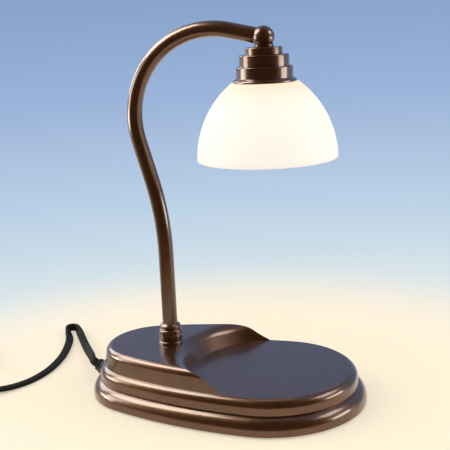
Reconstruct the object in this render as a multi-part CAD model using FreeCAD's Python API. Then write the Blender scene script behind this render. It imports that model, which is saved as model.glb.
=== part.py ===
"""Candle warmer lamp: a swan-neck halogen lamp on an egg-shaped base that melts a jar candle from above.

Millimetres. +Z is up, +X runs from the arm towards the candle, and the origin lies on the table under
the middle of the base. Every piece that comes apart on a bench is one node, written to parts/NODE.step.
"""
import FreeCAD, Part
import math
import os

from FreeCAD import Vector

# ---------------------------------------------------------------- driving dimensions
running_gap = 0.05          # radial clearance of a pin, spigot or screw in its hole
fitting_gap = 0.3           # clearance of a piece dropped into its seat

# base outline: a large front circle and a small rear circle, joined by two shallow side arcs
front_radius = 68.3
rear_radius = 52.0
centre_distance = 89.2
side_radius = 322.0

# base moulding, from the table up
foot_height = 2.4
skirt_bottom = 1.0
skirt_top = 13.6
skirt_round = 9.4
skirt_edge_round = 0.8
bead_inset = 6.0
bead_bottom = 12.6
bead_bottom_round = 1.9
plate_height = 24.8         # the level that the candle stands on
bead_round = 6.4
platform_foot_inset = 10.6
platform_top_inset = 11.9
platform_top = 39.0
platform_round = 5.2
base_wall = 2.4

# round cove that clears the candle
cove_radius = 60.5          # at the candle plate
cove_slope_run = 7.0        # how far the cove's wall leans back
cove_lip_round = 11.0       # the wall rolls over into the platform's top

# base fittings
cover_thickness = 1.6
cover_gap = 0.6
foot_radius = 7.0
ballast_inset = 17.0
ballast_thickness = 3.5
boss_radius = 3.6
boss_gap = 1.0
front_boss_inset, front_boss_angle = 19.1, 43.7     # from the outline, and round the front circle's centre
rear_boss_inset, rear_boss_angle = 21.9, 116.1      # the same at the rear circle
front_foot_inset, front_foot_angle = 19.3, 63.9
rear_foot_inset, rear_foot_angle = 27.0, 146.0
cover_screw_radius = 1.4
cover_screw_length = 12.0
cover_screw_head_radius = 2.8
cover_screw_head_height = 1.4

# arm: a vertical neck, a bend back, a lean, the crook over the top and a straight end into the ball
neck_x = -42.9
arm_radius = 5.6
arm_wall = 1.0
neck_straight_top = 107.1
lower_bend_radius = 209.0
lean_angle = 15.82
lean_length = 28.6
crook_radius = 61.6
end_drop_angle = 12.47
end_straight = 25.1

# threaded pieces of the neck and the head share one thread
thread_radius = 4.5
thread_bore = 3.1
nut_across_flats = 14.0
nut_thickness = 4.0
washer_thickness = 1.0
washer_radius = 8.6
neck_pad_radius = 13.0
neck_pad_thickness = 2.0
nipple_end = 1.0            # thread that shows past a nut
neck_grip = 16.0            # thread inside the arm

# turned collar at the foot of the arm
collar_height = 15.4
collar_radius = 8.9

# ball fitting and stepped cap
ball_radius = 7.7
ball_shoulder = 5.2         # distance of the arm's end from the ball's centre
spigot_length = 9.0
ball_collar_radius = 6.8
cap_drop = 6.6              # from the ball's centre down to the cap's top face
cap_radii = (12.8, 17.2, 19.6)
cap_heights = (5.0, 7.9, 7.7)
cap_flange_height = 3.0
cap_flange_radius = 22.0
cap_wall = 1.0
cap_edge_round = 0.7

# holder carrier, shade ring, washer and glass shade
carrier_radius = 16.0
carrier_wall = 1.0
carrier_plate = 1.2
carrier_nest_gap = 0.3
carrier_tail = 10.5         # how far the carrier reaches below the glass's top face
glass_wall = 3.0
shade_arc_radius = 67.25    # of the dome's profile, from the rim to the shoulder under the cap
shade_rim_radius = 49.05
shade_shoulder = 3.3        # the shoulder stands out beyond the cap's flange
shade_edge = 0.9            # height of the ground rim and drop of the shoulder
shade_height = 53.0
washer_ring_thickness = 0.6
ring_thickness = 3.2
ring_radius = 21.0

# bayonet lampholder and reflector bulb
holder_radius = 14.5
holder_height = 15.8
pin_circle_radius = 5.0
pin_radius = 1.45
pin_head_radius = 2.5
pin_head_height = 2.8
pin_stem_length = 4.3
slot_clearance = 0.3
holder_floor = 3.4
holder_chamber = 4.6
twist_angle = 40.0
holder_screw_circle = 11.0
bulb_gap = 0.3
bulb_length = 47.0
bulb_radius = 25.0
bulb_base_height = 14.2
bulb_glass_wall = 1.3

# power cord, strain relief and inner leads
cord_radius = 3.4
lead_radius = 1.95
cord_total = 1800.0
bushing_tilt = 27.5
bushing_depth, bushing_z = 1.55, 14.2      # its flange's middle, inside the rear edge and over the table
bushing_flange_radius = 5.7
bushing_flange = 1.6
bushing_body_radius = 4.0
bushing_body_length = 7.0
bushing_neck = 3.0

# in-line switch
switch_length = 60.0
switch_width = 24.0
switch_height = 17.0
switch_split = 8.5
switch_wall = 1.8
switch_place = Vector(-101.25, -59.5, 0.0)     # its mouth, from the base's rear edge
switch_heading = 205.0
rocker_length = 16.0
rocker_width = 9.8
rocker_tilt = 9.0
rocker_pivot_height = 12.6
trunnion_radius = 1.4

# plug
plug_length = 28.0
plug_width = 23.0
plug_height = 13.5
plug_place = Vector(-198.85, 60.0, 0.0)        # its cord end, from the base's rear edge
blade_length = 17.0
blade_spacing = 12.7
blade_thickness = 1.5
blade_widths = (6.3, 7.9)

# put-away coil
coil_place = Vector(-158.25, 0.0, 0.0)         # its middle, from the base's rear edge
coil_radius = 39.3
coil_width = 20.4
coil_height = 12.7
tie_width = 5.0
tie_thickness = 0.9

# ---------------------------------------------------------------- places worked out from them
base_length = front_radius + centre_distance + rear_radius
front_x = base_length / 2 - front_radius
rear_x = front_x - centre_distance

lean = math.radians(lean_angle)
drop = math.radians(end_drop_angle)
bend_top = Vector(neck_x - lower_bend_radius * (1 - math.cos(lean)), 0,
                  neck_straight_top + lower_bend_radius * math.sin(lean))
crook_start = bend_top + Vector(-lean_length * math.sin(lean), 0, lean_length * math.cos(lean))
crook_centre = crook_start + Vector(crook_radius * math.cos(lean), 0, crook_radius * math.sin(lean))
crook_end = crook_centre + Vector(crook_radius * math.sin(drop), 0, crook_radius * math.cos(drop))
arm_end_direction = Vector(math.cos(drop), 0, -math.sin(drop))
ball_centre = crook_end + arm_end_direction * end_straight
head_x = ball_centre.x

cap_top = ball_centre.z - cap_drop
cap_bottom = cap_top - sum(cap_heights) - cap_flange_height
carrier_top = cap_top - cap_wall
carrier_ledge = cap_top - cap_heights[0] - cap_wall - 0.2
shade_top = cap_bottom
shade_rim = shade_top - shade_height
washer_top = shade_top - glass_wall
ring_top = washer_top - washer_ring_thickness
carrier_bottom = shade_top - carrier_tail
holder_top = carrier_ledge - carrier_wall
holder_face = holder_top - holder_height
bulb_top = holder_face - bulb_gap
bulb_face = bulb_top - bulb_length
ballast_bottom = foot_height + cover_thickness
cover_rim_inset = base_wall + cover_gap

UP = Vector(0, 0, 1)
LENGTHWISE = Vector(1, 0, 0)
ACROSS = Vector(0, 1, 0)


# ---------------------------------------------------------------- shared shapes
def cylinder(radius, height, foot, direction=UP):
    return Part.makeCylinder(radius, height, foot, direction)


def tube(outer, inner, height, foot, direction=UP):
    return cylinder(outer, height, foot, direction).cut(cylinder(inner, height, foot, direction))


def polygon_face(points):
    return Part.Face(Part.makePolygon(points + points[:1]))


def turned(profile, axis_x, angle=360.0):
    """Solid of revolution about a vertical axis; the profile is a list of (radius, height)."""
    points = [Vector(axis_x + r, 0, z) for r, z in profile]
    return polygon_face(points).revolve(Vector(axis_x, 0, 0), UP, angle)


def turned_edges(edges, axis_x):
    face = Part.Face(Part.Wire(Part.__sortEdges__(edges)))
    return face.revolve(Vector(axis_x, 0, 0), UP, 360)


def fuse_all(shapes):
    whole = shapes[0].multiFuse(shapes[1:])
    return whole.removeSplitter()


def round_edges(solid, radius, chosen):
    edges = [edge for edge in solid.Edges if chosen(edge)]
    return solid.makeFillet(radius, edges)


def at_height(z):
    return lambda edge: all(abs(v.Z - z) < 1e-4 for v in edge.Vertexes) and abs(edge.BoundBox.ZLength) < 1e-4


def hexagon_prism(across_flats, height, foot):
    corner = across_flats / math.sqrt(3)
    points = [foot + Vector(corner * math.cos(math.radians(60 * k)), corner * math.sin(math.radians(60 * k)), 0)
              for k in range(6)]
    return polygon_face(points).extrude(Vector(0, 0, height))


# ---------------------------------------------------------------- base outline
def egg_wire(inset, z):
    """The base's outline moved inwards by inset: four arcs that share their centres at every inset."""
    front, rear, side = front_radius - inset, rear_radius - inset, side_radius - inset
    to_front, to_rear = side_radius - front_radius, side_radius - rear_radius
    along = (to_rear ** 2 - to_front ** 2 + centre_distance ** 2) / (2 * centre_distance)
    side_x = rear_x + along
    side_y = math.sqrt(to_rear ** 2 - along ** 2)
    front_angle = math.atan2(side_y, front_x - side_x)
    rear_angle = math.atan2(side_y, rear_x - side_x)

    def arc(cx, cy, radius, start, end):
        def point(angle):
            return Vector(cx + radius * math.cos(angle), cy + radius * math.sin(angle), z)
        return Part.Arc(point(start), point((start + end) / 2), point(end)).toShape()

    return Part.Wire([
        arc(front_x, 0, front, -front_angle, front_angle),
        arc(side_x, -side_y, side, front_angle, rear_angle),
        arc(rear_x, 0, rear, rear_angle, 2 * math.pi - rear_angle),
        arc(side_x, side_y, side, -rear_angle, -front_angle),
    ])


def egg_slab(inset, bottom, top):
    return Part.Face(egg_wire(inset, bottom)).extrude(Vector(0, 0, top - bottom))


def platform_block(extra_inset, bottom, top):
    """The raised rear platform before the cove is cut: its wall leans inwards a little."""
    slope = (platform_top_inset - platform_foot_inset) / (platform_top - plate_height)

    def inset_at(z):
        return platform_foot_inset + slope * (z - plate_height) + extra_inset

    return Part.makeLoft([egg_wire(inset_at(bottom), bottom), egg_wire(inset_at(top), top)], True, True)


def cove_cutter(wall, floor):
    """Round space over the candle plate with its rolled lip; with a wall, the offset of it for the cavity."""
    lip_top = platform_top - wall
    lip_radius = cove_lip_round - wall
    lean_direction = Vector(cove_slope_run, 0, platform_top - plate_height).normalize()
    foot = Vector(cove_radius + wall / lean_direction.z, 0, plate_height)
    # the lip's arc is tangent to the leaning wall and to the platform's top
    lip_reach = lip_radius * math.tan(math.atan2(lean_direction.z, lean_direction.x) / 2)
    corner = foot + lean_direction * ((lip_top - plate_height) / lean_direction.z)
    arc_start = corner - lean_direction * lip_reach
    arc_end = corner + Vector(lip_reach, 0, 0)
    arc_centre = arc_end - Vector(0, 0, lip_radius)
    arc_middle = arc_centre + ((arc_start + arc_end) * 0.5 - arc_centre).normalize() * lip_radius
    above = platform_top + 5
    low = foot + lean_direction * ((floor - plate_height) / lean_direction.z) if floor < plate_height else foot
    corners = [arc_end, Vector(arc_end.x, 0, above), Vector(0, 0, above), Vector(0, 0, low.z), low, arc_start]
    profile = [Part.LineSegment(a, b).toShape() for a, b in zip(corners, corners[1:])]
    profile.append(Part.Arc(arc_start, arc_middle, arc_end).toShape())
    cutter = turned_edges(profile, 0)
    cutter.translate(Vector(head_x, 0, 0))
    return cutter


# ---------------------------------------------------------------- base
def beside_outline(centre_x, radius, inset, angle):
    """A pair of places one each side of the middle, inset from the outline at an angle round a circle's centre."""
    x = centre_x + (radius - inset) * math.cos(math.radians(angle))
    y = (radius - inset) * math.sin(math.radians(angle))
    return [(x, y), (x, -y)]


bosses = (beside_outline(front_x, front_radius, front_boss_inset, front_boss_angle)
          + beside_outline(rear_x, rear_radius, rear_boss_inset, rear_boss_angle))
feet_places = (beside_outline(front_x, front_radius, front_foot_inset, front_foot_angle)
               + beside_outline(rear_x, rear_radius, rear_foot_inset, rear_foot_angle))
bushing_axis = Vector(-math.cos(math.radians(bushing_tilt)), 0, math.sin(math.radians(bushing_tilt)))
rear_edge = Vector(-base_length / 2, 0, 0)
bushing_seat = rear_edge + Vector(bushing_depth, 0, bushing_z) - bushing_axis * (bushing_flange / 2)
cord_exit = bushing_seat + bushing_axis * (bushing_flange + bushing_neck)
pad_bottom = platform_top - base_wall - neck_pad_thickness


def base_housing():
    skirt = egg_slab(0, skirt_bottom, skirt_top)
    skirt = round_edges(skirt, skirt_round, at_height(skirt_top))
    skirt = round_edges(skirt, skirt_edge_round, at_height(skirt_bottom))
    bead = egg_slab(bead_inset, bead_bottom, plate_height)
    bead = round_edges(bead, bead_round, at_height(plate_height))
    bead = round_edges(bead, bead_bottom_round, at_height(bead_bottom))
    platform = platform_block(0, plate_height - 4, platform_top)
    platform = round_edges(platform, platform_round, at_height(platform_top))
    platform = platform.cut(cove_cutter(0, plate_height))
    outside = fuse_all([skirt, bead, platform])

    skirt_space = egg_slab(base_wall, 0, skirt_top - base_wall)
    skirt_space = round_edges(skirt_space, skirt_round - base_wall, at_height(skirt_top - base_wall))
    bead_space = egg_slab(bead_inset + base_wall, skirt_bottom, plate_height - base_wall)
    bead_space = round_edges(bead_space, bead_round - base_wall, at_height(plate_height - base_wall))
    platform_space = platform_block(base_wall, skirt_bottom, platform_top - base_wall)
    platform_space = round_edges(platform_space, platform_round - base_wall, at_height(platform_top - base_wall))
    platform_space = platform_space.cut(cove_cutter(base_wall, plate_height - base_wall))
    shell = outside.cut(fuse_all([skirt_space, bead_space, platform_space]))

    boss_foot = ballast_bottom + 0.2
    neck_pad = cylinder(neck_pad_radius, neck_pad_thickness + base_wall / 2, Vector(neck_x, 0, pad_bottom))
    inside = [neck_pad.cut(cove_cutter(base_wall / 2, plate_height))]
    for x, y in bosses:
        ceiling = platform_top if x < 0 else plate_height
        inside.append(cylinder(boss_radius, ceiling - base_wall / 2 - boss_foot, Vector(x, y, boss_foot)))
    cord_boss = cylinder(bushing_flange_radius + 0.3, bushing_body_length,
                         bushing_seat - bushing_axis * bushing_body_length, bushing_axis)
    inside.append(cord_boss.common(egg_slab(0, ballast_bottom + ballast_thickness + 0.5, plate_height - 1)))
    housing = fuse_all([shell] + inside)

    for x, y in bosses:
        housing = housing.cut(cylinder(cover_screw_radius + running_gap, cover_screw_length,
                                       Vector(x, y, boss_foot)))
    housing = housing.cut(cylinder(thread_radius + 0.1, 3 * base_wall, Vector(neck_x, 0, pad_bottom - 1)))
    housing = housing.cut(cylinder(bushing_body_radius + running_gap, 2 * bushing_body_length,
                                   bushing_seat - bushing_axis * 1.6 * bushing_body_length, bushing_axis))
    return housing


def base_cover():
    cover = egg_slab(cover_rim_inset, foot_height, foot_height + cover_thickness)
    for x, y in bosses:
        cover = cover.cut(cylinder(cover_screw_radius + fitting_gap, cover_thickness, Vector(x, y, foot_height)))
    return cover


def cover_screws():
    screws = []
    for x, y in bosses:
        head = cylinder(cover_screw_head_radius, cover_screw_head_height,
                        Vector(x, y, foot_height - cover_screw_head_height))
        shank = cylinder(cover_screw_radius, cover_screw_length - 0.6, Vector(x, y, foot_height))
        slot = Part.makeBox(2 * cover_screw_head_radius, 0.7, 0.6,
                            Vector(x - cover_screw_head_radius, y - 0.35, foot_height - cover_screw_head_height))
        screws.append(head.fuse(shank).cut(slot))
    return Part.makeCompound(screws)


def base_feet():
    feet = []
    for x, y in feet_places:
        pad = cylinder(foot_radius, foot_height, Vector(x, y, 0))
        feet.append(round_edges(pad, 0.6, at_height(0)))
    return Part.makeCompound(feet)


def ballast_plate():
    plate = egg_slab(ballast_inset, ballast_bottom, ballast_bottom + ballast_thickness)
    for x, y in bosses:
        plate = plate.cut(cylinder(boss_radius + boss_gap, ballast_thickness, Vector(x, y, ballast_bottom)))
    return plate


def cord_bushing():
    flange = cylinder(bushing_flange_radius, bushing_flange, bushing_seat, bushing_axis)
    flange = round_edges(flange, 0.5, lambda e: e.Length > 2 * math.pi * bushing_flange_radius - 1e-3
                         and (e.CenterOfMass - bushing_seat).dot(bushing_axis) > bushing_flange / 2)
    body = cylinder(bushing_body_radius, bushing_body_length, bushing_seat - bushing_axis * bushing_body_length,
                    bushing_axis)
    neck = Part.makeCone(4.8, 4.1, bushing_neck + 0.2, bushing_seat + bushing_axis * (bushing_flange - 0.2),
                         bushing_axis)
    bore = cylinder(lead_radius + running_gap, 40, bushing_seat - bushing_axis * 20, bushing_axis)
    return fuse_all([flange, body, neck]).cut(bore)


# ---------------------------------------------------------------- neck
def neck_nipple():
    foot = pad_bottom - washer_thickness - nut_thickness - nipple_end
    return tube(thread_radius, thread_bore, platform_top + neck_grip - foot, Vector(neck_x, 0, foot))


def neck_washer():
    """Shake-proof washer: a ring with outward teeth."""
    foot = Vector(neck_x, 0, pad_bottom - washer_thickness)
    ring = tube(washer_radius, thread_radius + running_gap, washer_thickness, foot)
    notch_count = 12
    notches = []
    for k in range(notch_count):
        notch = Part.makeBox(2.0, 1.4, washer_thickness, Vector(washer_radius - 1.6, -0.7, 0))
        notch.rotate(Vector(), UP, 360.0 * k / notch_count)
        notch.translate(foot)
        notches.append(notch)
    return ring.cut(notches[0].multiFuse(notches[1:]))


def neck_nut():
    foot = Vector(neck_x, 0, pad_bottom - washer_thickness - nut_thickness)
    return hexagon_prism(nut_across_flats, nut_thickness, foot).cut(
        cylinder(thread_radius + running_gap, nut_thickness, foot))


def neck_collar():
    """Turned collar: foot ring, swelling body with a rolled shoulder, groove, upper bead and a cone up to the arm."""
    bore = arm_radius + running_gap
    z = platform_top
    r = collar_radius

    def p(radius, height):
        return Vector(neck_x + radius, 0, z + height)

    def line(a, b):
        return Part.LineSegment(a, b).toShape()

    def arc(a, m, b):
        return Part.Arc(a, m, b).toShape()

    edges = [
        line(p(bore, 0), p(r + 0.4, 0)),
        line(p(r + 0.4, 0), p(r + 0.4, 0.9)),
        arc(p(r + 0.4, 0.9), p(r + 0.2, 1.7), p(r - 0.4, 2.1)),
        line(p(r - 0.4, 2.1), p(r - 0.3, 2.5)),
        arc(p(r - 0.3, 2.5), p(r, 5.6), p(r - 0.3, 8.7)),
        arc(p(r - 0.3, 8.7), p(r - 0.5, 10.3), p(r - 1.7, 11.1)),
        arc(p(r - 1.7, 11.1), p(r - 2.0, 11.5), p(r - 1.7, 11.9)),
        arc(p(r - 1.7, 11.9), p(r - 1.1, 13.1), p(r - 1.8, 14.3)),
        line(p(r - 1.8, 14.3), p(bore + 0.35, collar_height)),
        line(p(bore + 0.35, collar_height), p(bore, collar_height)),
        line(p(bore, collar_height), p(bore, 0)),
    ]
    return turned_edges(edges, neck_x)


# ---------------------------------------------------------------- arm
def arm_path(start_height, end):
    """Centre line of the swan neck from a height on the neck to a point on the straight end."""
    crook_sweep = math.pi / 2 + lean + drop

    def on_lower_bend(angle):
        return Vector(neck_x - lower_bend_radius * (1 - math.cos(angle)), 0,
                      neck_straight_top + lower_bend_radius * math.sin(angle))

    def on_crook(angle):
        return crook_centre + Vector(-crook_radius * math.cos(angle), 0, crook_radius * math.sin(angle))

    bend_start = Vector(neck_x, 0, neck_straight_top)
    return [
        Part.LineSegment(Vector(neck_x, 0, start_height), bend_start).toShape(),
        Part.Arc(bend_start, on_lower_bend(lean / 2), bend_top).toShape(),
        Part.LineSegment(bend_top, crook_start).toShape(),
        Part.Arc(crook_start, on_crook(-lean + crook_sweep / 2), crook_end).toShape(),
        Part.LineSegment(crook_end, end).toShape(),
    ]


def swept(edges, radius):
    path = Part.Wire(edges)
    first = edges[0]
    start = first.valueAt(first.FirstParameter)
    ring = Part.Wire(Part.makeCircle(radius, start, first.tangentAt(first.FirstParameter)))
    solid = Part.Solid(path.makePipeShell([ring], True, False))
    if solid.Volume < 0:
        solid.reverse()
    return solid


def bent_rod(edges, radius):
    """Round rod along lines and arcs, one cylinder or torus piece for each edge."""
    pieces = []
    for edge in edges:
        start = edge.valueAt(edge.FirstParameter)
        direction = edge.tangentAt(edge.FirstParameter)
        if edge.Curve.TypeId == "Part::GeomLine":
            pieces.append(cylinder(radius, edge.Length, start, direction))
        else:
            disc = Part.Face(Part.Wire(Part.makeCircle(radius, start, direction)))
            sweep = math.degrees(edge.Length / edge.Curve.Radius)
            pieces.append(disc.revolve(edge.Curve.Center, edge.Curve.Axis, sweep))
    return fuse_all(pieces)


def arm_tube():
    end = ball_centre - arm_end_direction * ball_shoulder
    path = arm_path(platform_top, end)
    return bent_rod(path, arm_radius).cut(bent_rod(path, arm_radius - arm_wall))


# ---------------------------------------------------------------- head
def ball_fitting():
    shoulder = ball_centre - arm_end_direction * ball_shoulder
    ball = Part.makeSphere(ball_radius, ball_centre)
    ball = ball.cut(cylinder(ball_radius, ball_radius, shoulder, arm_end_direction * -1))
    ball = ball.cut(cylinder(ball_radius, ball_radius, Vector(head_x, 0, cap_top - ball_radius)))
    spigot = cylinder(arm_radius - arm_wall - running_gap, spigot_length, shoulder, arm_end_direction * -1)
    foot_collar = cylinder(ball_collar_radius, 1.8, Vector(head_x, 0, cap_top))
    foot_collar = round_edges(foot_collar, 0.5, at_height(cap_top))
    body = fuse_all([ball, spigot, foot_collar])
    lead_hole = lead_radius + 0.95
    body = body.cut(cylinder(lead_hole, ball_shoulder + spigot_length, ball_centre, arm_end_direction * -1))
    body = body.cut(Part.makeSphere(lead_hole, ball_centre))
    body = body.cut(cylinder(lead_hole, cap_drop, Vector(head_x, 0, cap_top)))
    return body.cut(cylinder(thread_radius + running_gap, 3.6, Vector(head_x, 0, cap_top)))


def head_nipple():
    top = cap_top + 3.5
    bottom = carrier_top - carrier_plate - nut_thickness - nipple_end / 2
    return tube(thread_radius, thread_bore, top - bottom, Vector(head_x, 0, bottom))


def head_nut():
    foot = Vector(head_x, 0, carrier_top - carrier_plate - nut_thickness)
    return hexagon_prism(nut_across_flats, nut_thickness, foot).cut(
        cylinder(thread_radius + running_gap, nut_thickness, foot))


def shade_cap():
    """Spun cap in three steps, with a flange rolled out over the glass."""
    hole = thread_radius + 0.1
    r1, r2, r3 = cap_radii
    z1 = cap_top - cap_heights[0]
    z2 = z1 - cap_heights[1]
    z3 = z2 - cap_heights[2]
    w = cap_wall
    rim = cap_flange_radius

    def p(radius, height):
        return Vector(head_x + radius, 0, height)

    outline = [
        p(hole, cap_top), p(r1, cap_top), p(r1, z1), p(r2, z1), p(r2, z2), p(r3, z2), p(r3, z3),
        p(rim - 0.5, z3 - 1.3), p(rim, z3 - 1.9), p(rim, cap_bottom + 0.5), p(rim - 0.5, cap_bottom),
        p(r3 - w, cap_bottom), p(r3 - w, z2 - w), p(r2 - w, z2 - w), p(r2 - w, z1 - w), p(r1 - w, z1 - w),
        p(r1 - w, cap_top - w), p(hole, cap_top - w),
    ]
    cap = polygon_face(outline).revolve(Vector(head_x, 0, 0), UP, 360)

    def outer_step(edge):
        on_step = any(abs(edge.BoundBox.ZMin - z) < 1e-3 and abs(edge.BoundBox.XLength - 2 * r) < 1e-2
                      for r, z in ((r1, cap_top), (r2, z1), (r3, z2)))
        return on_step and edge.BoundBox.ZLength < 1e-3

    return round_edges(cap, cap_edge_round, outer_step)


def holder_carrier():
    """Stepped cup nested in the cap: its plate is clamped by the head nut, its tail carries the shade ring."""
    hole = thread_radius + 0.1
    neck = cap_radii[0] - cap_wall - carrier_nest_gap
    w = carrier_wall
    carrier = turned([
        (hole, carrier_top), (neck, carrier_top), (neck, carrier_ledge), (carrier_radius, carrier_ledge),
        (carrier_radius, carrier_bottom), (carrier_radius - w, carrier_bottom),
        (carrier_radius - w, carrier_ledge - w), (neck - w, carrier_ledge - w),
        (neck - w, carrier_top - carrier_plate), (hole, carrier_top - carrier_plate)], head_x)
    for side in (1, -1):
        x = head_x + side * holder_screw_circle
        carrier = carrier.cut(cylinder(1.4 + running_gap, 2 * w, Vector(x, 0, carrier_ledge - 1.5 * w)))
    return carrier


def shade():
    """Frosted glass dome: one arc from the rim to the shoulder, then a flat seat under the cap."""
    low, high = shade_rim + shade_edge, shade_top - shade_edge
    shoulder_radius = cap_flange_radius + shade_shoulder
    rise, run = high - low, shade_rim_radius - shoulder_radius
    chord = math.hypot(rise, run)
    back = math.sqrt(shade_arc_radius ** 2 - chord ** 2 / 4)
    arc_r = (shade_rim_radius + shoulder_radius) / 2 - back * rise / chord
    arc_z = (low + high) / 2 - back * run / chord
    inner_radius = shade_arc_radius - glass_wall
    hole = carrier_radius + 2 * fitting_gap
    seat = shade_top - glass_wall

    def on_arc(radius, z):
        return Vector(head_x + arc_r + math.sqrt(radius ** 2 - (z - arc_z) ** 2), 0, z)

    def curve(radius, bottom, top):
        return Part.Arc(on_arc(radius, bottom), on_arc(radius, (bottom + top) / 2), on_arc(radius, top)).toShape()

    def line(a, b):
        return Part.LineSegment(a, b).toShape()

    brim_out, brim_in = on_arc(shade_arc_radius, low), on_arc(inner_radius, low)
    brim = Vector((brim_out.x + brim_in.x) / 2, 0, shade_rim)
    top_edge = Vector(head_x + shoulder_radius - 1.4 * shade_edge, 0, shade_top)
    top_hole, seat_hole = Vector(head_x + hole, 0, shade_top), Vector(head_x + hole, 0, seat)
    edges = [curve(shade_arc_radius, low, high), line(on_arc(shade_arc_radius, high), top_edge),
             line(top_edge, top_hole), line(top_hole, seat_hole), line(seat_hole, on_arc(inner_radius, seat)),
             curve(inner_radius, low, seat), Part.Arc(brim_in, brim, brim_out).toShape()]
    return turned_edges(edges, head_x)


def shade_washer():
    return tube(ring_radius - 0.4, carrier_radius + running_gap, washer_ring_thickness, Vector(head_x, 0, ring_top))


def shade_ring():
    """Ring nut with finger notches that clamps the glass from below."""
    foot = Vector(head_x, 0, ring_top - ring_thickness)
    ring = tube(ring_radius, carrier_radius + running_gap, ring_thickness, foot)
    notch_count = 16
    notches = []
    for k in range(notch_count):
        angle = 2 * math.pi * k / notch_count
        centre = foot + Vector(ring_radius * math.cos(angle) * 1.03, ring_radius * math.sin(angle) * 1.03, 0)
        notches.append(cylinder(1.5, ring_thickness, centre))
    return ring.cut(notches[0].multiFuse(notches[1:]))


def arc_slot(width, start, end, bottom, height):
    """Curved slot on the pin circle with round ends, angles in degrees about the head's axis."""
    inner, outer = pin_circle_radius - width / 2, pin_circle_radius + width / 2
    band = tube(outer, inner, height, Vector(0, 0, bottom))
    reach = 2 * outer
    wedge = [Vector(0, 0, bottom)]
    for k in range(4):
        angle = math.radians(start + (end - start) * k / 3)
        wedge.append(Vector(reach * math.cos(angle), reach * math.sin(angle), bottom))
    slot = band.common(polygon_face(wedge).extrude(Vector(0, 0, height)))
    ends = []
    for angle in (math.radians(start), math.radians(end)):
        foot = Vector(pin_circle_radius * math.cos(angle), pin_circle_radius * math.sin(angle), bottom)
        ends.append(cylinder(width / 2, height, foot))
    slot = slot.multiFuse(ends)
    slot.translate(Vector(head_x, 0, 0))
    return slot


rest_angles = (90.0, 270.0)
chamber_bottom = holder_face + holder_floor
chamber_top = chamber_bottom + holder_chamber
wire_room_depth = 4.6


def lampholder():
    """Ceramic bayonet holder: keyhole slots below, a chamber for the pin heads, contacts and wires above."""
    body = cylinder(holder_radius, holder_height, Vector(head_x, 0, holder_face))
    body = round_edges(body, 0.8, at_height(holder_face))
    for rest in rest_angles:
        body = body.cut(arc_slot(2 * (pin_radius + slot_clearance), rest, rest + twist_angle,
                                 holder_face, holder_floor))
        body = body.cut(arc_slot(2 * (pin_head_radius + slot_clearance), rest, rest + twist_angle,
                                 chamber_bottom, holder_chamber))
        entry = math.radians(rest + twist_angle)
        foot = Vector(head_x + pin_circle_radius * math.cos(entry), pin_circle_radius * math.sin(entry), holder_face)
        body = body.cut(cylinder(pin_head_radius + slot_clearance, holder_floor, foot))
        side = math.sin(math.radians(rest))
        body = body.cut(Part.makeBox(4.4, 3.6, holder_top - wire_room_depth - chamber_top,
                                     Vector(head_x - 2.2, side * pin_circle_radius - 1.8, chamber_top)))
    body = body.cut(cylinder(8.0, wire_room_depth, Vector(head_x, 0, holder_top - wire_room_depth)))
    for side in (1, -1):
        x = head_x + side * holder_screw_circle
        body = body.cut(cylinder(1.6, holder_height, Vector(x, 0, holder_face)))
        body = body.cut(cylinder(2.8, 2.2, Vector(x, 0, holder_face)))
    return body


def holder_screws():
    screws = []
    for side in (1, -1):
        x = head_x + side * holder_screw_circle
        head = cylinder(2.5, 1.8, Vector(x, 0, holder_face + 0.4))
        slot = Part.makeBox(5.0, 0.7, 0.7, Vector(x - 2.5, -0.35, holder_face + 0.4))
        shank = cylinder(1.4, carrier_ledge - holder_face - 2.2, Vector(x, 0, holder_face + 2.2))
        screws.append(head.cut(slot).fuse(shank))
    return Part.makeCompound(screws)


def holder_contacts():
    """Two brass contact springs that press on the pin heads, with a tail in the wire room."""
    head_top = chamber_bottom + 0.6 + pin_head_height
    room_floor = holder_top - wire_room_depth
    contacts = []
    for rest in rest_angles:
        y = math.sin(math.radians(rest)) * pin_circle_radius
        stem = Part.makeBox(4.0, 3.2, room_floor - head_top - 0.2, Vector(head_x - 2.0, y - 1.6, head_top + 0.2))
        tail = Part.makeBox(5.0, 3.8, 0.8, Vector(head_x - 2.5, y - 1.9, room_floor))
        contacts.append(stem.fuse(tail).removeSplitter())
    return Part.makeCompound(contacts)


# ---------------------------------------------------------------- bulb
reflector_top = bulb_top - bulb_base_height


def bulb_base():
    z = bulb_top
    return turned([(0, z), (9.6, z), (10.6, z - 1.0), (11.4, z - 6.2), (12.6, z - 7.0), (13.2, reflector_top + 1.2),
                   (12.4, reflector_top), (0, reflector_top)], head_x)


def bulb_pins():
    pins = []
    for rest in rest_angles:
        y = math.sin(math.radians(rest)) * pin_circle_radius
        foot = Vector(head_x, y, bulb_top)
        stem = cylinder(pin_radius, pin_stem_length, foot)
        head_foot = foot + Vector(0, 0, pin_stem_length)
        head = round_edges(cylinder(pin_head_radius, pin_head_height, head_foot), 0.4,
                           at_height(bulb_top + pin_stem_length + pin_head_height))
        pins.append(stem.fuse(head))
    return Part.makeCompound(pins)


def reflector_wall(z, inset):
    """Radius of the reflector's bowl at a height: a parabola from the base down to the front ring."""
    depth = reflector_top - z
    full = reflector_top - (bulb_face + 3.4)
    return 12.6 + (bulb_radius - 12.6) * math.sqrt(max(depth, 0) / full) - inset


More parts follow.
